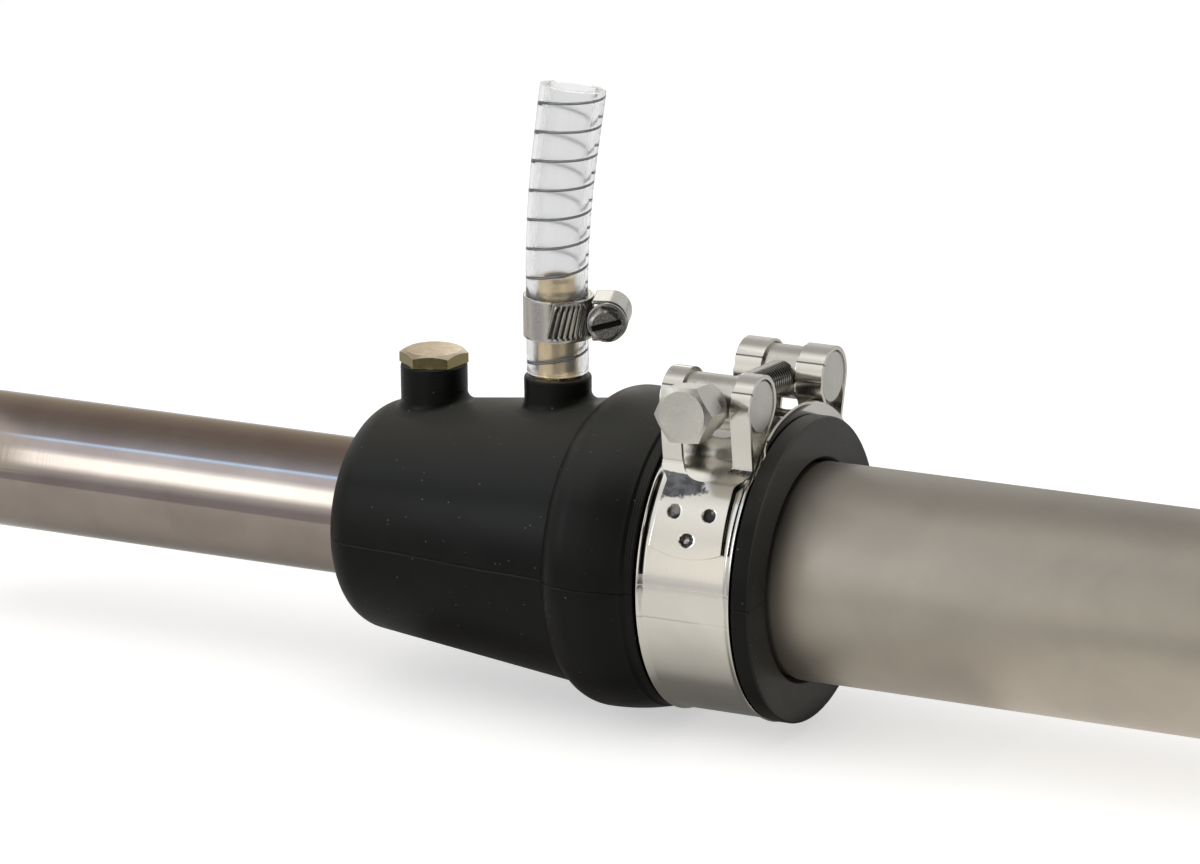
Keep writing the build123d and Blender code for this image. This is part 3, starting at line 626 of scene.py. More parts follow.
def makeHousing(h):
    outside = housingOutline(h)
    inside = [
        (h["seatEnd"], h["seat"]), (h["seatEnd"], h["lip"]), (h["lipEnd"], h["lip"]),
        (h["cavityRight"], h["cavity"]), (h["cavityLeft"], h["cavity"]), (h["boreRight"], h["bore"]),
        (h["boreLeft"], h["bore"]), (h["boreLeft"], h["entry"])]
    near = [0.1 * k for k in range(11)] + [1.3]
    seams = [radians(s * 90 + side * d) for s in (1, -1) for d in near for side in (1, -1)]
    turns = sorted({round(t % (2 * pi), 6) for t in evenTurns(h["turns"]) + seams})
    c = h["shadedFlank"]
    points, seamAndFlankShade, pale = [], [], []
    for k, (x, r) in enumerate(outside + inside):
        outer = k < len(outside)
        onLand = outer and h["landLeft"] < x < h["landRight"] and abs(r - h["landRadius"]) < 1e-6
        for t in turns:
            radius = r
            world = (degrees(t) + 180) % 360 - 180
            wander = h["seamWander"] * (sin(0.21 * x) + 0.5 * sin(0.73 * x + 1.0)) * (1 if world > 0 else 0.7)
            fromSeam = (abs(world) - 90) * pi / 180 * r + wander
            # painted shade: the seam's groove is also coloured darker, through the seam mask
            seam = exp(-(fromSeam / h["seamWidth"]) ** 2) if outer and r > h["mouthRadius"] else 0.0
            radius -= h["seamDepth"] * seam
            # painted shade: the flank beside the clamp is coloured as dark as the seam
            paintedShade = 0.85 * eased(x, c[0], c[1]) * (1 - eased(x, c[2], c[3])) * (1 - eased(cos(t), 0.4, 0.85))
            seamAndFlankShade.append(max(seam * min(max(sin(0.9 * x) * 0.6 + 0.9, 0.35), 1.0), paintedShade * float(outer)))
            if onLand and abs(world + degrees(clampLean)) < h["recessReach"]:
                radius = h["recessRadius"]
            points.append((x, -radius * sin(t), radius * cos(t)))
            # painted light: the collar's end face is coloured lighter towards its top
            pale.append((0.25 + 0.75 * eased(cos(t), 0.0, 0.9)) * float(outer and x > -0.45))
    faces = gridFaces(len(outside) + len(inside), len(turns), closeRows=True, closeColumns=True)
    piece = makePiece(
        "rubberHousing", points, faces, rubberBlack, "gland", "rubber", 32.0, seam=seamAndFlankShade, pale=pale)
    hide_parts("housing")


boss = dict(
    radius=7.2, foot=2.0, rim=0.45, hole=5.25, holeFloor=21.0, ringPitch=0.85, ringHeight=0.045,
    plugX=-89.9, plugTop=34.9, hoseX=-60.0, hoseTop=35.7, turns=120,
)


def makeBoss(name, x, top, b):
    # skirt that flows out of the cone, ringed wall, rounded rim and the bore for the brass
    turns = evenTurns(b["turns"])
    rings = []

    def surface(radius, turn):
        across = radius * sin(turn)
        return sqrt(coneRadius(x + radius * cos(turn)) ** 2 - across ** 2)

    def level(radius, z):
        rings.append([(radius, z)] * len(turns))

    outerRadius = b["radius"] + b["foot"]
    rings.append([(outerRadius + 0.6, surface(outerRadius + 0.6, t) - 0.4) for t in turns])
    for k in range(11):
        s = k / 10 * pi / 2
        radius = b["radius"] + b["foot"] * (1 - sin(s))
        rings.append([(radius, surface(radius, t) + b["foot"] * (1 - cos(s))) for t in turns])
    wallLow = coneRadius(x + b["radius"]) + b["foot"] + 0.15
    wallHigh = top - b["rim"]
    count = 4 * max(2, round((wallHigh - wallLow) / b["ringPitch"]))
    for k in range(count + 1):
        z = wallLow + (wallHigh - wallLow) * k / count
        wave = 0.5 - 0.5 * cos(2 * pi * (wallHigh - z) / b["ringPitch"])
        level(b["radius"] + b["ringHeight"] * wave, z)
    for k in range(1, 7):
        a = k / 6 * pi / 2
        level(b["radius"] - b["rim"] * (1 - cos(a)), wallHigh + b["rim"] * sin(a))
    for radius, z in ((b["hole"] + 0.2, top), (b["hole"], top - 0.2), (b["hole"], b["holeFloor"])):
        level(radius, z)
    points = [(x + r * cos(t), r * sin(t), z) for ring in rings for (r, z), t in zip(ring, turns)]
    faces = gridFaces(len(rings), len(turns), closeRows=True, closeColumns=True)
    makePiece(name, points, faces, rubberBlack, "gland", "rubber", 50.0)


plug = dict(
    seat=34.95, flats=13.0, headLength=3.0, chamfer=0.08, turn=22.0,
    thread=3.95, threadLength=8.6, threadDepth=0.5, pitch=1.25, count=120, steps=60,
)


def makePlug(p):
    # hexagon on a short threaded shank, both coloured darker than the hexagon's top
    count, steps = p["count"], p["steps"]
    rings = hexHead(p["flats"], p["headLength"], p["chamfer"], count, p["turn"])
    rings.insert(3, [(r, z - 0.12) for r, z in rings[2]])
    rings[-1] = [(r, 0.15) for r, _ in rings[-1]]
    rings.append([(p["flats"] / 2, 0.0)] * count)
    for k in range(steps + 1):
        depth = -p["threadLength"] * k / steps
        cuts = [p["threadDepth"] * threadCut(depth, p["pitch"], i / count) for i in range(count)]
        rings.append([(p["thread"] - cut, depth) for cut in cuts])
    rings.append([(0.0, -p["threadLength"])] * count)
    tarnish = [value for value, number in ((0.0, 3), (1.0, 3), (0.6, steps + 2)) for _ in range(number * count)]
    place = Matrix.Translation((boss["plugX"], 0, p["seat"]))
    piece = makePiece(
        "brassPlug", moved(aboutAxis(rings), place), gridFaces(len(rings), count, closeColumns=True),
        steel["plug"], "plug", "brass", 8.0, tarnish=tarnish)
    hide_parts("filler_plug")


makePlug(plug)
makeHousing(housing)
makeBoss("plugBoss", boss["plugX"], boss["plugTop"], boss)
makeBoss("hoseBoss", boss["hoseX"], boss["hoseTop"], boss)
print("housing made")


# clear hose with its steel spiral

hose = dict(
    radius=6.6, freeRadius=7.1, bore=4.6, bottom=36.6, straight=17.0, bendRadius=215.0, bend=radians(8.4),
    end=13.0, lean=radians(50.0), wireRadius=0.29, wireDepth=0.75, pitch=6.17, coilStart=radians(90.0),
    endGap=0.8, turnSteps=40,
)
hose["length"] = hose["straight"] + hose["bendRadius"] * hose["bend"] + hose["end"]
hosePlace = Matrix.Translation((boss["hoseX"], 0, 0)) @ Matrix.Rotation(hose["lean"], 4, "Z")


def hoseCentre(travel):
    h = hose
    angle = min(max(travel - h["straight"], 0) / h["bendRadius"], h["bend"])
    rise = min(travel, h["straight"]) + h["bendRadius"] * sin(angle)
    beyond = max(travel - h["straight"] - h["bendRadius"] * h["bend"], 0)
    x = h["bendRadius"] * (1 - cos(angle)) + beyond * sin(angle)
    return x, h["bottom"] + rise + beyond * cos(angle), angle


def hoseRadius(travel):
    h = hose
    grown = max(travel - h["straight"], 0) / (h["length"] - h["straight"])
    return h["radius"] + (h["freeRadius"] - h["radius"]) * grown


def hoseRing(travel, radius, turns):
    x, z, angle = hoseCentre(travel)
    return [
        (x + radius * cos(t) * cos(angle), radius * sin(t), z - radius * cos(t) * sin(angle)) for t in turns]


def makeHose(h):
    turns = evenTurns(96)
    stations = np.linspace(0, h["length"], 60)
    wall = [(s, hoseRadius(s)) for s in stations] + [(s, h["bore"]) for s in reversed(stations)]
    points = [p for s, r in wall for p in hoseRing(s, r, turns)]
    inner = [float(r == h["bore"]) for _, r in wall for _ in turns]
    faces = gridFaces(len(wall), len(turns), closeRows=True, closeColumns=True)
    piece = makePiece(
        "clearHose", moved(points, hosePlace), faces, clearHose, "gland", "clear_hose", 50.0, inner=inner)
    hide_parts("hose")


def makeHoseWire(h):
    # the spiral lies in the wall, so it follows the hose's own bend
    steps = int((h["length"] - 2 * h["endGap"]) / h["pitch"] * h["turnSteps"])
    around = evenTurns(10)
    points = []
    for i in range(steps + 1):
        travel = h["endGap"] + i * h["pitch"] / h["turnSteps"]
        x, z, angle = hoseCentre(travel)
        turn = 2 * pi * i / h["turnSteps"] + h["coilStart"]
        coilRadius = hoseRadius(travel) - h["wireDepth"]
        rise = h["pitch"] / (2 * pi * coilRadius)
        for a in around:
            radius = coilRadius + h["wireRadius"] * cos(a)
            lift = h["wireRadius"] * sin(a)
            across = radius * cos(turn) + lift * rise * sin(turn)
            depth = radius * sin(turn) - lift * rise * cos(turn)
            points.append((x + across * cos(angle) + lift * sin(angle), depth,
                           z - across * sin(angle) + lift * cos(angle)))
    faces = gridFaces(steps + 1, len(around), closeColumns=True)
    faces += [tuple(range(len(around))), tuple(steps * len(around) + k for k in range(len(around)))]
    piece = makePiece("hoseSpiral", moved(points, hosePlace), faces, steel["wire"], "gland", "wire_steel", 60.0)
    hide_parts("hose_wire")


makeHose(hose)
makeHoseWire(hose)
print("hose made")


# slotted band of the hose clamp: closed ring with its slotted end lapped over it

wormBand = dict(
    z=48.9, halfWidth=4.4, thickness=0.6, ring=6.95, lap=7.59, side=20.0, lapStart=-96.0, lapEnd=42.0,
    stepSize=9.0, slots=8, firstSlot=-25.0, slotPitch=9.0, slotWidth=0.57, slotHalf=3.2, slant=14.0,
    lip=0.3, edge=0.1,
)
wormPlace = Matrix.Translation((boss["hoseX"], 0, wormBand["z"])) @ Matrix.Rotation(
    radians(wormBand["side"]), 4, "Z")


def makeWormBand(b):
    # rows follow the slots' slant, so that each slot is a gap between two rows
    slotAngle = degrees(b["slotWidth"] / b["lap"]) / 2
    firstSlot, lastSlot = b["firstSlot"], b["firstSlot"] - (b["slots"] - 1) * b["slotPitch"]
    centres = [firstSlot - i * b["slotPitch"] for i in range(b["slots"])]
    lap = set(np.arange(b["lapStart"], b["lapEnd"] + 0.01, 1.5))
    for c in centres:
        lap = {a for a in lap if abs(a - c) > slotAngle * 1.9}
        lap |= {c + slotAngle * k for k in (-1.9, -1.4, -1.0, 1.0, 1.4, 1.9)}
    angles = sorted(lap) + list(np.arange(b["lapEnd"] + 2, 360 + b["lapEnd"] - 0.5, 3.0))
    half = b["halfWidth"]
    across = [b["slotHalf"] * k / 6 for k in range(-6, 7)]
    across = [-half, -half + 0.5, -b["slotHalf"] - 0.45] + across + [b["slotHalf"] + 0.45, half - 0.5, half]
    points, faces, dark = [], [], []
    for a in angles:
        over = a - b["lapEnd"]
        behind = eased(a - 360, lastSlot - 6, lastSlot - 3) * (1 - eased(a - 360, firstSlot + 3, firstSlot + 6))
        base = b["lap"] if over <= 0 else b["lap"] + (b["ring"] - b["lap"]) * eased(over, 0.0, b["stepSize"])
        leaning = eased(a, lastSlot - 18, lastSlot - 4) * (1 - eased(a, firstSlot + 4, firstSlot + 18))
        nearSlot = min(abs(a - c) for c in centres) / slotAngle
        raised = exp(-((nearSlot - 1.0) / 0.55) ** 2)
        wall = exp(-((nearSlot - 0.9) / 0.35) ** 2)
        for v in across:
            turn = a + leaning * degrees(v * tan(radians(b["slant"])) / b["lap"])
            radius = base + b["lip"] * raised * (1 - eased(abs(v), b["slotHalf"], b["slotHalf"] + 0.5))
            points.append((radius * cos(radians(turn)), radius * sin(radians(turn)), v))
            # painted shade: the ring seen through the slots, and the slots' walls, are coloured dark
            dark.append(max(0.9 * behind, 0.5 * wall * float(abs(v) < b["slotHalf"] + 0.1)))
    columns = len(across)
    for i in range(len(angles) - 1):
        middle = (angles[i] + angles[i + 1]) / 2
        inSlot = min(abs(middle - c) for c in centres) < slotAngle
        for j in range(columns - 1):
            if not (inSlot and abs(across[j] + across[j + 1]) / 2 < b["slotHalf"]):
                k = i * columns + j
                faces.append((k, k + 1, k + 1 + columns, k + columns))
    piece = makePiece(
        "slottedBand", moved(points, wormPlace), faces, steel["clamp"], "gland", "clamp_steel", groove=dark)
    thicken(piece, b["thickness"], b["edge"])
    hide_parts("worm_band")


# pressed housing and slotted hexagon screw of the hose clamp

wormHousing = dict(
    radius=3.875, thickness=0.75, foot=3.3, front=-4.7, back=4.7, dome=2.2, lip=0.3, edge=0.2,
    domeSteps=((0.0, 1.0), (0.25, 0.985), (0.5, 0.93), (0.7, 0.84), (0.85, 0.7), (0.95, 0.55), (1.0, 0.45)),
)
wormScrew = dict(
    axis=11.24, shank=3.3, shankEnd=4.7, flange=4.22, flangeBack=-5.4, flangeThickness=1.0, flats=6.5,
    headLength=2.2, chamfer=0.14, hexTurn=-12.0, slotWidth=1.3, slotDepth=1.4, slotTurn=15.0,
)


def makeWormHousing(w):
    # U section laid along the screw, narrowing to a dome at the far end and lipped at the near one
    stations = [(w["front"] + y, 1 + lip) for y, lip in ((0, w["lip"] / w["radius"]), (0.25, 0.03), (0.55, 0))]
    stations += [(y, 1.0) for y in np.linspace(w["front"] + 1.2, w["back"] - 0.4, 8)]
    stations += [(w["back"] + w["dome"] * t, scale) for t, scale in w["domeSteps"]]
    points = []
    for y, scale in stations:
        r = w["radius"] * scale
        points += [(-w["foot"] * (1 - k / 6), y, -r) for k in range(6)]
        points += [(r * cos(a), y, r * sin(a)) for a in np.linspace(-pi / 2, pi / 2, 33)]
        points += [(-w["foot"] * k / 6, y, r) for k in range(1, 7)]
    columns = len(points) // len(stations)
    place = wormPlace @ Matrix.Translation((wormScrew["axis"], 0, 0))
    faces = gridFaces(len(stations), columns)
    piece = makePiece("wormArch", moved(points, place), faces, steel["clamp"], "gland", "clamp_steel")
    thicken(piece, w["thickness"], w["edge"], 3)
    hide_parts("worm_housing")


def cutSlot(piece, w, place):
    # a bar takes the slot out of the head and leaves painted shade, a near-black metal, on the slot's walls
    low, high = w["headLength"] - w["slotDepth"], w["headLength"] + 1.0
    bar = [(x, y, z) for x in (-6, 6) for y in (-w["slotWidth"] / 2, w["slotWidth"] / 2) for z in (low, high)]
    bar = moved(moved(bar, Matrix.Rotation(radians(w["slotTurn"]), 4, "Z")), place)
    sides = [(0, 1, 3, 2), (4, 6, 7, 5), (0, 4, 5, 1), (2, 3, 7, 6), (0, 2, 6, 4), (1, 5, 7, 3)]
    cutter = addObject("slotBar", newMesh("slotBar", bar, sides))
    cutter.data.materials.append(slotShadeMetal)
    cut = piece.modifiers.new("slot", "BOOLEAN")
    cut.object = cutter
    cut.operation = "DIFFERENCE"
    cut.solver = "EXACT"
    cut.material_mode = "TRANSFER"
    settle(piece, 25.0)
    bpy.data.objects.remove(cutter)


def makeWormScrew(w):
    # slotted hexagon along +Z, then flange and shank behind it
    count = 96
    back = -w["flangeThickness"]
    end = back - (w["shankEnd"] - w["flangeBack"])
    flange = roundOff([
        (0, w["flange"] - 0.6, 0), (0, w["flange"], 0.25), (back, w["flange"], 0.2), (back, w["shank"], 0)], 5)
    rings = hexHead(w["flats"], w["headLength"], w["chamfer"], count, w["hexTurn"])
    rings += [[(r, z)] * count for z, r in flange + [(end, w["shank"]), (end, 0.0)]]
    place = wormPlace @ Matrix.Translation((w["axis"], w["flangeBack"] - w["flangeThickness"], 0))
    place = place @ Matrix.Rotation(pi / 2, 4, "X")
    faces = gridFaces(len(rings), count, closeColumns=True)
    piece = makePiece(
        "wormScrew", moved(aboutAxis(rings), place), faces, steel["screw"], None, "screw_steel", 25.0)
    cutSlot(piece, w, place)
    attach(piece, "hose_clamp_screw")
    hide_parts("worm_screw")


makeWormBand(wormBand)
makeWormHousing(wormHousing)
makeWormScrew(wormScrew)
print("hose clamp made")


# T-bolt clamp: the strap follows one path in the clamp's cross-section, from tongue to tongue

strap = dict(
    thickness=0.9, ring=31.8, tongue=32.72, loop=6.2, trunnionY=17.85, trunnionZ=37.8,
    innerLeg=37.0, outerLeg=41.0, tip=77.6, corner=74.5, slotEnd=48.4, frontSlot=5.8, rearSlot=3.95,
    innerSlotUp=4.0, halfLoop=10.25, halfRing=10.7, halfWaist=7.7, halfTip=8.2, shoulder=42.5, waist=50.0,
    flare=0.55, flareWidth=1.5, weldRadius=1.55, weldDepth=0.35, welds=((61.0, -4.0), (61.0, 4.0), (71.0, 0.0)),
    columns=23, crowding=0.12, edge=0.14, rollEnd=85.2, loopShadeLine=32.5,
    creases=(89.5, 101.5), creaseDepth=0.03, creaseWidth=0.3,
    tongueSteps=100, legSteps=40, loopSteps=72, ringSteps=150, smoothings=10,
)


def strapAt(radius, angle):
    # y and z in the clamp's cross-section; angles in degrees from the top towards -Y
    return Vector((-radius * sin(radians(angle)), radius * cos(radians(angle))))


def creaseAt(s, angle):
    return sum(exp(-((angle - crease) / s["creaseWidth"]) ** 2) for crease in s["creases"])


def strapPath(s):
    # front half: tongue, outer leg, loop and inner leg, each point with what the strap is there
    centre = Vector((-s["trunnionY"], s["trunnionZ"]))

    def touch(point, side):
        gap = centre - point
        heading = atan2(gap.y, gap.x) + side * asin(s["loop"] / gap.length)
        run = sqrt(gap.length ** 2 - s["loop"] ** 2)
        return point + Vector((cos(heading), sin(heading))) * run

    def leg(low, high, kind):
        return [(low.lerp(high, k / s["legSteps"]), kind, 0) for k in range(1, s["legSteps"])]

    tongueAngles = np.linspace(s["tip"], s["outerLeg"], s["tongueSteps"])
    path = [(strapAt(s["tongue"], angle), "tongue", angle) for angle in tongueAngles]
    outerFoot, innerFoot = path[-1][0], strapAt(s["ring"], s["innerLeg"])
    outerTop, innerTop = touch(outerFoot, 1), touch(innerFoot, -1)
    path += leg(outerFoot, outerTop, "outer")
    a = atan2(outerTop.y - centre.y, outerTop.x - centre.x)
    b = atan2(innerTop.y - centre.y, innerTop.x - centre.x)
    turn = (a - b) % (2 * pi)
    near = (-2.6, -2.0, -1.2, 0, 1.2, 2.0, 2.6)
    shadeLineTurns = [radians(shadeLine + d) for shadeLine in (s["loopShadeLine"], 180 - s["loopShadeLine"]) for d in near]
    steps = [turn * k / s["loopSteps"] for k in range(s["loopSteps"] + 1)]
    for step in sorted(steps + [(a - pi + shadeLine) % (2 * pi) for shadeLine in shadeLineTurns]):
        angle = a - step
        facing = 180 - degrees(angle) % 360
        path.append((centre + Vector((cos(angle), sin(angle))) * s["loop"], "wrap", facing))
    path += leg(innerTop, innerFoot, "inner")
    ringAngles = set(np.linspace(s["innerLeg"], 180, s["ringSteps"]))
    ringAngles |= {s["rollEnd"] - 0.05, s["rollEnd"] + 0.05}
    ringAngles |= {crease + s["creaseWidth"] / 2 * k for crease in s["creases"] for k in range(-6, 7)}
    for angle in sorted(ringAngles):
        path.append((strapAt(s["ring"] - s["creaseDepth"] * creaseAt(s, angle), angle), "ring", angle))
    return path


def smoothPath(s, path):
    # both legs and their feet are eased, so that the strap bends there and has no kinks
    points = [p for p, _, _ in path]
    loose = [
        kind in ("outer", "inner") or abs(angle - s["outerLeg"]) < 3
        or (kind == "ring" and angle < s["innerLeg"] + 3) for _, kind, angle in path]
    for _ in range(s["smoothings"]):
        points = [points[0]] + [
            (points[i - 1] + points[i] * 2 + points[i + 1]) / 4 if loose[i] else points[i]
            for i in range(1, len(points) - 1)] + [points[-1]]
    return points


def tongueMarks(s, x, angle, far):
    # smear below the slot with painted shade beside the outer leg's foot, dark scale in the weld dimples and
    # straw-coloured heat round them
    top = s["slotEnd"] + max(-2.4 + 0.1 * (x + s["halfTip"]), 1.9 * (x - 0.6))
    low = 59.5 - 0.4 * (x + s["halfTip"])
    smearAndShade = eased(angle, top - 0.8, top + 0.2) * (1 - eased(angle, low - 4.5, low)) * (1 - eased(x, -1.0, 5.5))
    # painted shade: the tongue is darkened right of the slot, at the foot of the outer leg
    smearAndShade = max(smearAndShade, 0.8 * (1 - eased(angle, 42.5, 45.0)) * eased(x, 1.5, 4.5))
    scale = (1 - eased(far, 0.95, 1.2)) * (0.72 + 0.28 * eased(far, 0.2, 0.75))
    heat = 0.5 * exp(-((far - 1.1) / 0.7) ** 2) * eased(angle, 63.0, 68.0) * (1 - eased(angle, 70.0, 74.0))
    return smearAndShade, scale, heat


def shadeLineMark(s, x, angle, width, onTongue):
    # painted shade and reflection: a dark line beside the tongue's right edge for the shadow in the gap there,
    # and a dark reflection in the hollow of the band's rolled left edge
    if onTongue:
        return float(x > width - 0.02) * eased(angle, 46.0, 48.0)
    hollow = abs(x + s["halfRing"] - 0.85)
    left = (1 - eased(hollow, 0.25, 0.6)) * eased(angle, 44.0, 48.0) * float(angle < s["rollEnd"])
    right = exp(-((x - s["halfTip"] - 0.15) / 0.22) ** 2)
    return max(left, right * eased(angle, 46.0, 49.0) * (1 - eased(angle, 74.6, 75.4)))


def strapRows(s, slotHalf):
    # rows across one half: travel, place, what the strap is there, angle, half width, half of the slot
    path = strapPath(s)
    smooth = smoothPath(s, path)
    travel = [0.0]
    for before, after in zip(smooth, smooth[1:]):
        travel.append(travel[-1] + (after - before).length)
    slotStart = next(
        t for t, (_, kind, angle) in zip(travel, path) if kind == "tongue" and angle <= s["slotEnd"])
    foot = strapAt(s["ring"], s["innerLeg"]).y + s["innerSlotUp"]
    slotStop = max(t for t, p, (_, kind, _) in zip(travel, smooth, path) if kind == "inner" and p.y > foot)
    closer = (0.02, 0.08, 0.18, 0.32)    # more rows at the slot's round ends
    rows = []
    for t in sorted(set(travel + [slotStart + d for d in closer] + [slotStop - d for d in closer])):
        i = min(max(np.searchsorted(travel, t) - 1, 0), len(travel) - 2)
        f = (t - travel[i]) / max(travel[i + 1] - travel[i], 1e-9)
        (_, kind, angle), (_, nextKind, nextAngle) = path[i:i + 2]
        if kind == nextKind:
            angle = angle + (nextAngle - angle) * f
        if f >= 0.999:
            kind = nextKind
        width = s["halfLoop"]
        if kind == "tongue":
            width += (s["halfWaist"] - s["halfLoop"]) * eased(angle, s["shoulder"], s["waist"])
            width += (s["halfTip"] - s["halfWaist"]) * max(angle - s["waist"], 0) / (s["corner"] - s["waist"])
        if kind == "ring":
            width += (s["halfRing"] - s["halfLoop"]) * eased(angle, s["innerLeg"] + 1, s["innerLeg"] + 9)
        inside = min(t - slotStart, slotStop - t, slotHalf)
        gap = sqrt(slotHalf ** 2 - (slotHalf - inside) ** 2) if inside > 0 else 0.0
        rows.append((t, smooth[i].lerp(smooth[i + 1], f), kind, angle, width, gap))
    return rows


def strapPoint(s, row, x, mirrored):
    # where the strap's middle surface is at x, with its marks: smear with painted shade, scale, heat, painted
    # shade in the creases and painted shade lines
    t, here, kind, angle, width, _ = row
    if kind == "tongue":
        # the tip is rounded, so rows near it bend with it, and the welds are dimples
        tipDrop = s["tongue"] * radians(s["tip"] - s["corner"])
        tipRadius = (s["halfTip"] ** 2 + tipDrop ** 2) / (2 * tipDrop)
        back = tipRadius - sqrt(max(tipRadius ** 2 - x * x, 0))
        tipLength = s["tongue"] * radians(s["tip"] - s["waist"])
        shift = back * max(1 - t / tipLength, 0) / s["tongue"]
        angle -= degrees(shift)
        if shift > 0:
            here = strapAt(s["tongue"], angle)
        outward = here.normalized()
        nearest = 9.0
        for weldAngle, weldX in s["welds"]:
            far = sqrt((x - weldX) ** 2 + (s["tongue"] * radians(angle - weldAngle)) ** 2) / s["weldRadius"]
            nearest = min(nearest, far)
            if far < 1.25:
                here = here - outward * s["weldDepth"] * (1 - eased(far, 0.55, 1.15))
        return here, (*tongueMarks(s, x, angle, nearest), 0.0, shadeLineMark(s, x, angle, width, True))
    if kind == "wrap":
        # painted reflection: a dark line across each loop's wrap
        shadeLine = 180 - s["loopShadeLine"] if mirrored else s["loopShadeLine"]
        return here, (0.0, 0.0, 0.0, 0.0, 0.8 * (1 - eased(abs(angle - shadeLine), 1.1, 2.3)))
    if kind == "ring":
        lift = s["flare"] * eased(abs(x), width - s["flareWidth"], width)
        here = here + here.normalized() * lift * eased(angle, s["innerLeg"] + 4, s["innerLeg"] + 14)
        # painted shade: the band is coloured darker along its two shallow creases
        crease = 0.5 * creaseAt(s, angle) * (1 if angle < 95 else 1 - eased(x, 1, 5))
        return here, (0.0, 0.0, 0.0, crease, 0.0 if mirrored else shadeLineMark(s, x, angle, width, False))
    return here, (0.0,) * 5


def makeStrap(s):
    # four grids: left and right of the slot, on the front half and on the mirrored rear one
    points, marks, faces = [], [], []
    shares = [j / s["columns"] for j in range(s["columns"] + 1)]
    shares = [share + s["crowding"] * sin(pi * share) for share in shares]
    for slotHalf, mirrored in ((s["frontSlot"], False), (s["rearSlot"], True)):
        rows = strapRows(s, slotHalf)
        for side in (-1, 1):
            faces += gridFaces(len(rows), len(shares), first=len(points))
            for row in rows:
                width, gap = row[-2:]
                for share in shares:
                    x = side * (gap + (width - gap) * share)
                    here, mark = strapPoint(s, row, x, mirrored)
                    points.append((x, -here.x if mirrored else here.x, here.y))
                    marks.append(mark)
    piece = makePiece(
        "clampStrap", moved(points, clampPlace), faces, steel["polished"], None, "polished_steel",
        **dict(zip(("smearAndShade", "scale", "heat", "crease", "shadeLine"), zip(*marks))))
    thicken(piece, s["thickness"], s["edge"], even=True)
    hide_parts("clamp_band")
    return piece


clampStrap = makeStrap(strap)
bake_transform(clampStrap)
print("clamp strap made")


# strip under the bolt, its edges turned up beside the loops

bridge = dict(
    radius=30.95, half=10.5, reach=54.0, thickness=0.5, bend=0.7, lean=0.06, lip=0.3, edge=0.1,
    edges=((-38, -0.2), (-36, 0.1), (-33, 1.3), (-29, 3.6), (-22, 4.1), (-6, 4.2), (8, 4.3), (20, 4.4),
           (33, 4.4), (41, 4.1), (45, 2.6), (49, 0.7), (52, -0.2)),    # rise by angle, from the back
)


def makeBridge(b):
    points = []
    angles = np.linspace(-b["reach"], b["reach"], 145)
    for angle in angles:
        rise = max(float(np.interp(angle, *zip(*b["edges"]))), 0.02)
        bend = min(b["bend"], rise)
        side = []
        for k in range(8):
            up = bend + (rise - bend) * (1 - k / 8)
            flare = b["lip"] * eased(up, rise - 0.9, rise) * eased(rise, 0.5, 2.0)
            side.append((b["half"] + b["lean"] * up + flare, up))
        for k in range(5):
            a = k / 4 * pi / 2
            side.append((b["half"] - bend * (1 - cos(a)), bend * (1 - sin(a))))
        flat = [(x, 0.0) for x in np.linspace(b["half"] - bend - 1, -(b["half"] - bend - 1), 9)]
        section = side + flat + [(-x, up) for x, up in reversed(side)]
        points += [
            (x, (b["radius"] + up) * sin(radians(angle)), (b["radius"] + up) * cos(radians(angle)))
            for x, up in section]
    faces = gridFaces(len(angles), len(section))
    piece = makePiece(
        "clampBridge", moved(points, clampPlace), faces, steel["polished"], "gland", "polished_steel")
    thicken(piece, b["thickness"], b["edge"])
    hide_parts("clamp_bridge")


makeBridge(bridge)
print("clamp bridge made")


# bolt with its thread, and the two cross pins

bolt = dict(
    radius=3.5, pitch=1.0, threadDepth=0.42, seat=-23.15, end=30.05, collarRadius=5.5, collarLength=5.6,
    collarRound=2.2, flats=11.5, headLength=6.4, chamfer=0.11, plainEnd=-16.0, count=96,
)
pin = dict(radius=5.7, halfLength=10.05, chamfer=0.4, seatDepth=5.25, seatHalf=5.7, turns=128)


def makeBolt(b):
    # built along +Z from the hexagon's face towards the thread's end, then laid along the clamp's Y
    count, base = b["count"], b["headLength"]
    rings = [
        [(r, base - z) for r, z in reversed(ring)] for ring in hexHead(b["flats"], base, b["chamfer"], count)]
    seat = base + b["collarLength"]
    plain, length = b["plainEnd"] - b["seat"], b["end"] - b["seat"]
    collar = roundOff([
        (base, b["collarRadius"] - 0.25, 0), (base + 0.25, b["collarRadius"], 0),
        (seat, b["collarRadius"], b["collarRound"]), (seat, b["radius"], 0)], 10)
    rings += [[(r, z)] * count for z, r in collar + [(seat + plain, b["radius"])]]
    grooves = [0.0] * count * len(rings)
    steps = int((length - plain) / b["pitch"] * 10)
    for k in range(steps + 1):
        z = plain + (length - plain) * k / steps
        fade = min(k / 10, 1.0) * min((steps - k) / 8 + 0.15, 1.0)
        depths = [b["threadDepth"] * threadCut(z, b["pitch"], i / count) * fade for i in range(count)]
        rings.append([(b["radius"] - depth - (0.35 if k == steps else 0), seat + z) for depth in depths])
        # painted shade: the thread's roots are coloured darker
        grooves += [eased(depth, 0.12, 0.26) for depth in depths]
    rings.append([(0.0, seat + length)] * count)
    grooves += [0.0] * count
    faces = gridFaces(len(rings), count, closeColumns=True)
    start = b["seat"] - b["collarLength"] - b["headLength"]
    place = clampPlace @ Matrix.Translation((0, start, strap["trunnionZ"])) @ Matrix.Rotation(-pi / 2, 4, "X")
    piece = makePiece(
        "clampBolt", moved(aboutAxis(rings), place), faces, steel["matt"], "bolt", "matt_steel", 20.0,
        groove=grooves)
    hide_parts("clamp_bolt")


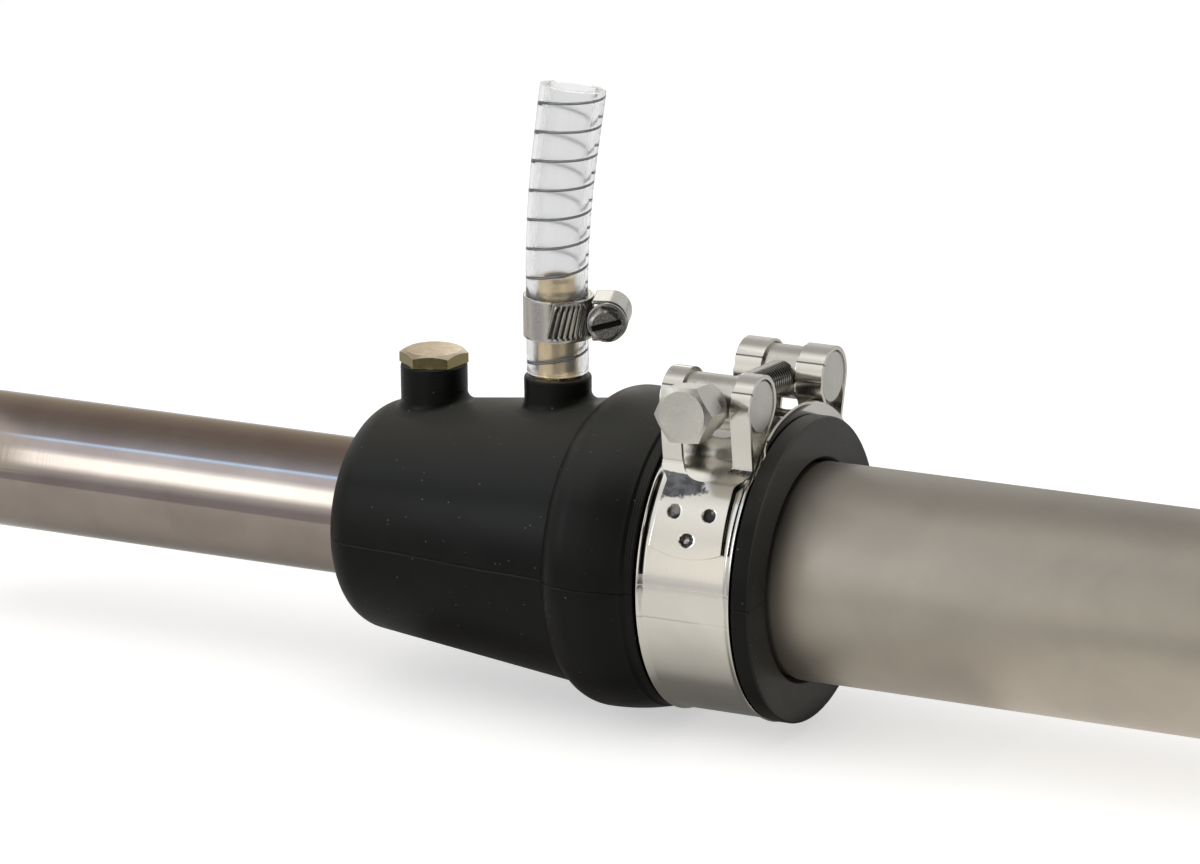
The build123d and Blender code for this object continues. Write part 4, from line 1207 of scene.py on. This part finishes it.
def makePin(p, name, y, body, node, flat):
    # the front pin has a flat where the bolt's collar sits
    ends = [(p["halfLength"], 0), (p["halfLength"], p["radius"] - p["chamfer"]),
            (p["halfLength"] - p["chamfer"], p["radius"]),
            (p["seatHalf"] + 0.01, p["radius"]), (p["seatHalf"], p["radius"])]
    stations = [(-x, r) for x, r in ends] + ends[::-1]
    turns = evenTurns(p["turns"])
    points = spin(stations, turns)
    if flat:
        points = [
            (x, max(py, -p["seatDepth"]) if abs(x) <= p["seatHalf"] else py, z) for x, py, z in points]
    place = clampPlace @ Matrix.Translation((0, y, strap["trunnionZ"]))
    faces = gridFaces(len(stations), len(turns), closeColumns=True)
    piece = makePiece(name, moved(points, place), faces, steel["matt"], body, "matt_steel", 25.0)
    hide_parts(node)


makeBolt(bolt)
makePin(pin, "frontPin", -strap["trunnionY"], "gland", "front_trunnion", True)
makePin(pin, "rearPin", strap["trunnionY"], "nut", "rear_trunnion", False)
print("bolt and pins made")


# floor, world, lamps and the cards that the polished metal mirrors

floorLook = dict(drop=0.4, size=4000.0, color=(0.8, 0.79, 0.775), roughness=0.85, sheen=0.1, glow=0.52)
skyLook = dict(
    soft=(0.34, 0.345, 0.35), right=(0.05, 0.049, 0.047), toFront=(-0.2, 0.0), toBack=(-0.15, 0.25),
    front=((-90, (0.5, 0.48, 0.46)), (0, (0.74, 0.73, 0.7)), (22, (0.76, 0.75, 0.72)), (36, (0.96, 0.95, 0.93)),
           (46, (1.04, 1.04, 1.02)), (56, (0.78, 0.77, 0.75)), (66, (1.2, 1.2, 1.17)), (80, (1.35, 1.35, 1.32)),
           (90, (1.2, 1.19, 1.16))),
    back=((-90, (0.4, 0.38, 0.36)), (0, (0.7, 0.7, 0.69)), (16, (0.66, 0.66, 0.65)), (30, (0.6, 0.6, 0.59)),
          (46, (0.46, 0.45, 0.44)), (66, (0.46, 0.45, 0.44)), (76, (0.62, 0.62, 0.6)), (90, (1.0, 0.99, 0.97))),
)
lampPlan = (
    dict(name="overhead", place=(-150, -200, 900), aim=(0, 0, 0), size=1200, power=4.2),
    dict(name="leftFront", place=(-900, -900, 500), aim=(-40, 0, 0), size=900, power=3.4),
    dict(name="rightFill", place=(900, -500, 450), aim=(20, 0, 0), size=700, power=1.6),
    dict(name="behind", place=(-100, 900, 600), aim=(0, 0, 0), size=700, power=1.2),
)
# arc round the shaft's left end, with a strip of floor in front of it; stops by angle from the front
shaftArc = dict(
    radius=400.0, left=-480.0, right=-277.0, low=-5.0, high=176.0, floorNear=-118.0, floorRight=-158.0,
    stops=((-5, (0.42, 0.4, 0.44)), (2, (0.62, 0.64, 0.7)), (8, (0.9, 0.9, 0.92)), (14, (1.9, 2.0, 2.1)),
           (19, (3.0, 3.1, 3.2)), (34, (3.0, 3.1, 3.2)), (39, (1.7, 1.85, 2.0)), (45, (1.1, 1.15, 1.3)),
           (58.5, (1.05, 1.1, 1.25)), (60.5, (1.2, 1.75, 2.6)), (63, (1.2, 1.75, 2.6)),
           (65, (0.62, 0.66, 0.78)), (76, (0.48, 0.48, 0.56)), (88, (0.34, 0.34, 0.34)),
           (104, (0.3, 0.27, 0.25)),
           (121, (0.31, 0.26, 0.25)), (143, (0.38, 0.34, 0.29)), (170, (0.5, 0.44, 0.36)),
           (176, (0.5, 0.44, 0.36))),
)
# flat cards by their ranges; those on the floor give their rise above the arc's strip
floorLift = 0.6
flatCards = (
    dict(name="under", x=(-95.0, 2.0), y=(-420.0, 160.0), rise=0.0, stops=(
        (-420, (0.8, 0.79, 0.76)), (-145, (0.8, 0.79, 0.76)), (-75, (0.8, 0.79, 0.76)),
        (-51, (0.66, 0.65, 0.61)), (-36, (0.48, 0.47, 0.44)), (-30, (0.36, 0.35, 0.33)),
        (-25, (0.17, 0.165, 0.155)), (-13, (0.14, 0.135, 0.13)),
        (10, (0.19, 0.185, 0.18)), (160, (0.5, 0.49, 0.47)))),
    dict(name="dark", x=(-65.0, 290.0), y=(-460.0, -190.0), rise=0.4, through=True, color=(0.05, 0.047, 0.043)),
    dict(name="tubeLow", x=(4.0, 42.0), y=(-140.0, 60.0), rise=0.4, color=(0.64, 0.61, 0.57)),
    dict(name="tubeEnd", x=(42.0, 220.0), y=(-140.0, 60.0), rise=0.4, color=(0.95, 0.91, 0.85)),
    dict(name="beside", x=(-440.0, 120.0), y=(-900.0,), z=(-20.0, 450.0), color=(1.05, 1.02, 0.95)),
    dict(name="behind", x=(-330.0, -232.0), y=(430.0,), z=(115.0, 225.0), color=(1.8, 1.76, 1.7)),
    dict(name="above", x=(60.0, 240.0), y=(-900.0,), z=(600.0, 880.0), color=(1.4, 1.38, 1.35)),
)


def addRamp(tree, value, stops):
    # colour by angle or place, with stops given in the value's own unit
    low, high = stops[0][0], stops[-1][0]
    ramp = addNode(tree, "ValToRGB", {"Fac": spread(tree, value, low, high)})
    marks = ramp.color_ramp.elements
    marks[1].position, marks[1].color = 1.0, (*stops[-1][1], 1)
    marks[0].position, marks[0].color = 0.0, (*stops[0][1], 1)
    for stop, color in stops[1:-1]:
        marks.new((stop - low) / (high - low)).color = (*color, 1)
    return ramp.outputs["Color"]


def placeStage(name, points, faces, material):
    piece = addObject(name, newMesh(name, points, faces))
    piece.data.materials.append(material)
    return piece


def seenDirectly(tree):
    light = addNode(tree, "LightPath").outputs
    return calculate(tree, "MAXIMUM", light["Is Camera Ray"], light["Is Transmission Ray"])


def makeFloor(f):
    half = f["size"]
    low = cadLow.z / mm - f["drop"]
    material, tree, shader = newMaterial("paleFloor")
    glow = calculate(tree, "MULTIPLY", seenDirectly(tree), f["glow"])
    setInputs(tree, shader, {
        "Base Color": (*f["color"], 1.0), "Roughness": f["roughness"], "Specular IOR Level": f["sheen"],
        "Emission Color": (1, 1, 1, 1), "Emission Strength": glow})
    corners = [(-half, -half, low), (half, -half, low), (half, half, low), (-half, half, low)]
    placeStage("floor", corners, [(0, 1, 2, 3)], material)


def makeWorld(look):
    # white where it is seen, soft where it lights, and front and back skies where metal mirrors it
    world = bpy.data.worlds.new("studio")
    scene.world = world
    world.use_nodes = True
    tree = world.node_tree
    parts = splitVector(tree, addNode(tree, "TexCoord").outputs["Generated"])
    rise = calculate(tree, "MULTIPLY", calculate(tree, "ARCSINE", parts["Z"]), 180 / pi)
    right = spread(tree, parts["X"], *look["toFront"])
    side = spread(tree, parts["Y"], *look["toBack"])
    front = mixColors(tree, right, addRamp(tree, rise, look["front"]), look["right"])
    mirrored = mixColors(tree, side, front, addRamp(tree, rise, look["back"]))
    glossy = addNode(tree, "LightPath").outputs["Is Glossy Ray"]
    plain = mixColors(tree, glossy, look["soft"], mirrored)
    sky = mixColors(tree, seenDirectly(tree), plain, (1.0, 1.0, 1.0))
    setInputs(tree, tree.nodes["Background"], {"Color": sky, "Strength": 1.0})


def placeLamp(plan):
    data = bpy.data.lights.new(plan["name"], "AREA")
    data.size = plan["size"] * mm
    data.energy = plan["power"]
    lamp = addObject(plan["name"], data)
    lamp.visible_glossy = False    # what polished metal mirrors is set by the world and the cards
    place = Vector(plan["place"]) * mm
    lamp.location = place
    lamp.rotation_euler = (Vector(plan["aim"]) * mm - place).to_track_quat("-Z", "Y").to_euler()


def glowMaterial(name, plan):
    # light given off by a card: one colour, or a ramp by angle round the shaft or by place along Y
    material, tree, shader = newMaterial(name)
    tree.nodes.clear()
    color = (*plan.get("color", (0, 0, 0)), 1)
    if "stops" in plan:
        parts = splitVector(tree, objectPlace(tree))
        value = calculate(tree, "MULTIPLY", parts["Y"], 1 / mm)
        if "radius" in plan:
            near = calculate(tree, "MULTIPLY", parts["Y"], -1.0)
            value = calculate(tree, "MULTIPLY", calculate(tree, "ARCTAN2", parts["Z"], near), 180 / pi)
        color = addRamp(tree, value, plan["stops"])
    glow = addNode(tree, "Emission", {"Color": color})
    addNode(tree, "OutputMaterial", {"Surface": glow.outputs[0]})
    return material


def placeCard(name, points, faces, plan):
    # seen only in reflections, and in those behind clear plastic where through is set
    piece = placeStage(name, points, faces, glowMaterial(name, plan))
    for ray in ("camera", "diffuse", "transmission", "shadow", "volume_scatter"):
        setattr(piece, "visible_" + ray, ray == "transmission" and plan.get("through", False))


def makeCards(arc, cards):
    floorHeight = cadLow.z / mm - floorLook["drop"] + floorLift
    reach = arc["radius"] * cos(radians(arc["low"]))
    points = [(x, y, floorHeight) for x in (arc["left"], arc["floorRight"]) for y in (-reach, arc["floorNear"])]
    angles = np.linspace(arc["low"], arc["high"], 91)
    for x in (arc["left"], arc["right"]):
        points += [(x, -arc["radius"] * cos(radians(a)), arc["radius"] * sin(radians(a))) for a in angles]
    placeCard("shaftCards", points, [(0, 1, 3, 2)] + gridFaces(2, len(angles), first=4), arc)
    for card in cards:
        heights = card["z"] if "z" in card else (floorHeight + card["rise"],)
        points = [(x, y, z) for x in card["x"] for y in card["y"] for z in heights]
        placeCard(card["name"] + "Card", points, [(0, 1, 3, 2)], card)


makeFloor(floorLook)
makeWorld(skyLook)
makeCards(shaftArc, flatCards)
for plan in lampPlan:
    placeLamp(plan)
scene.view_settings.view_transform = "Standard"
print("floor, world and lamps placed")
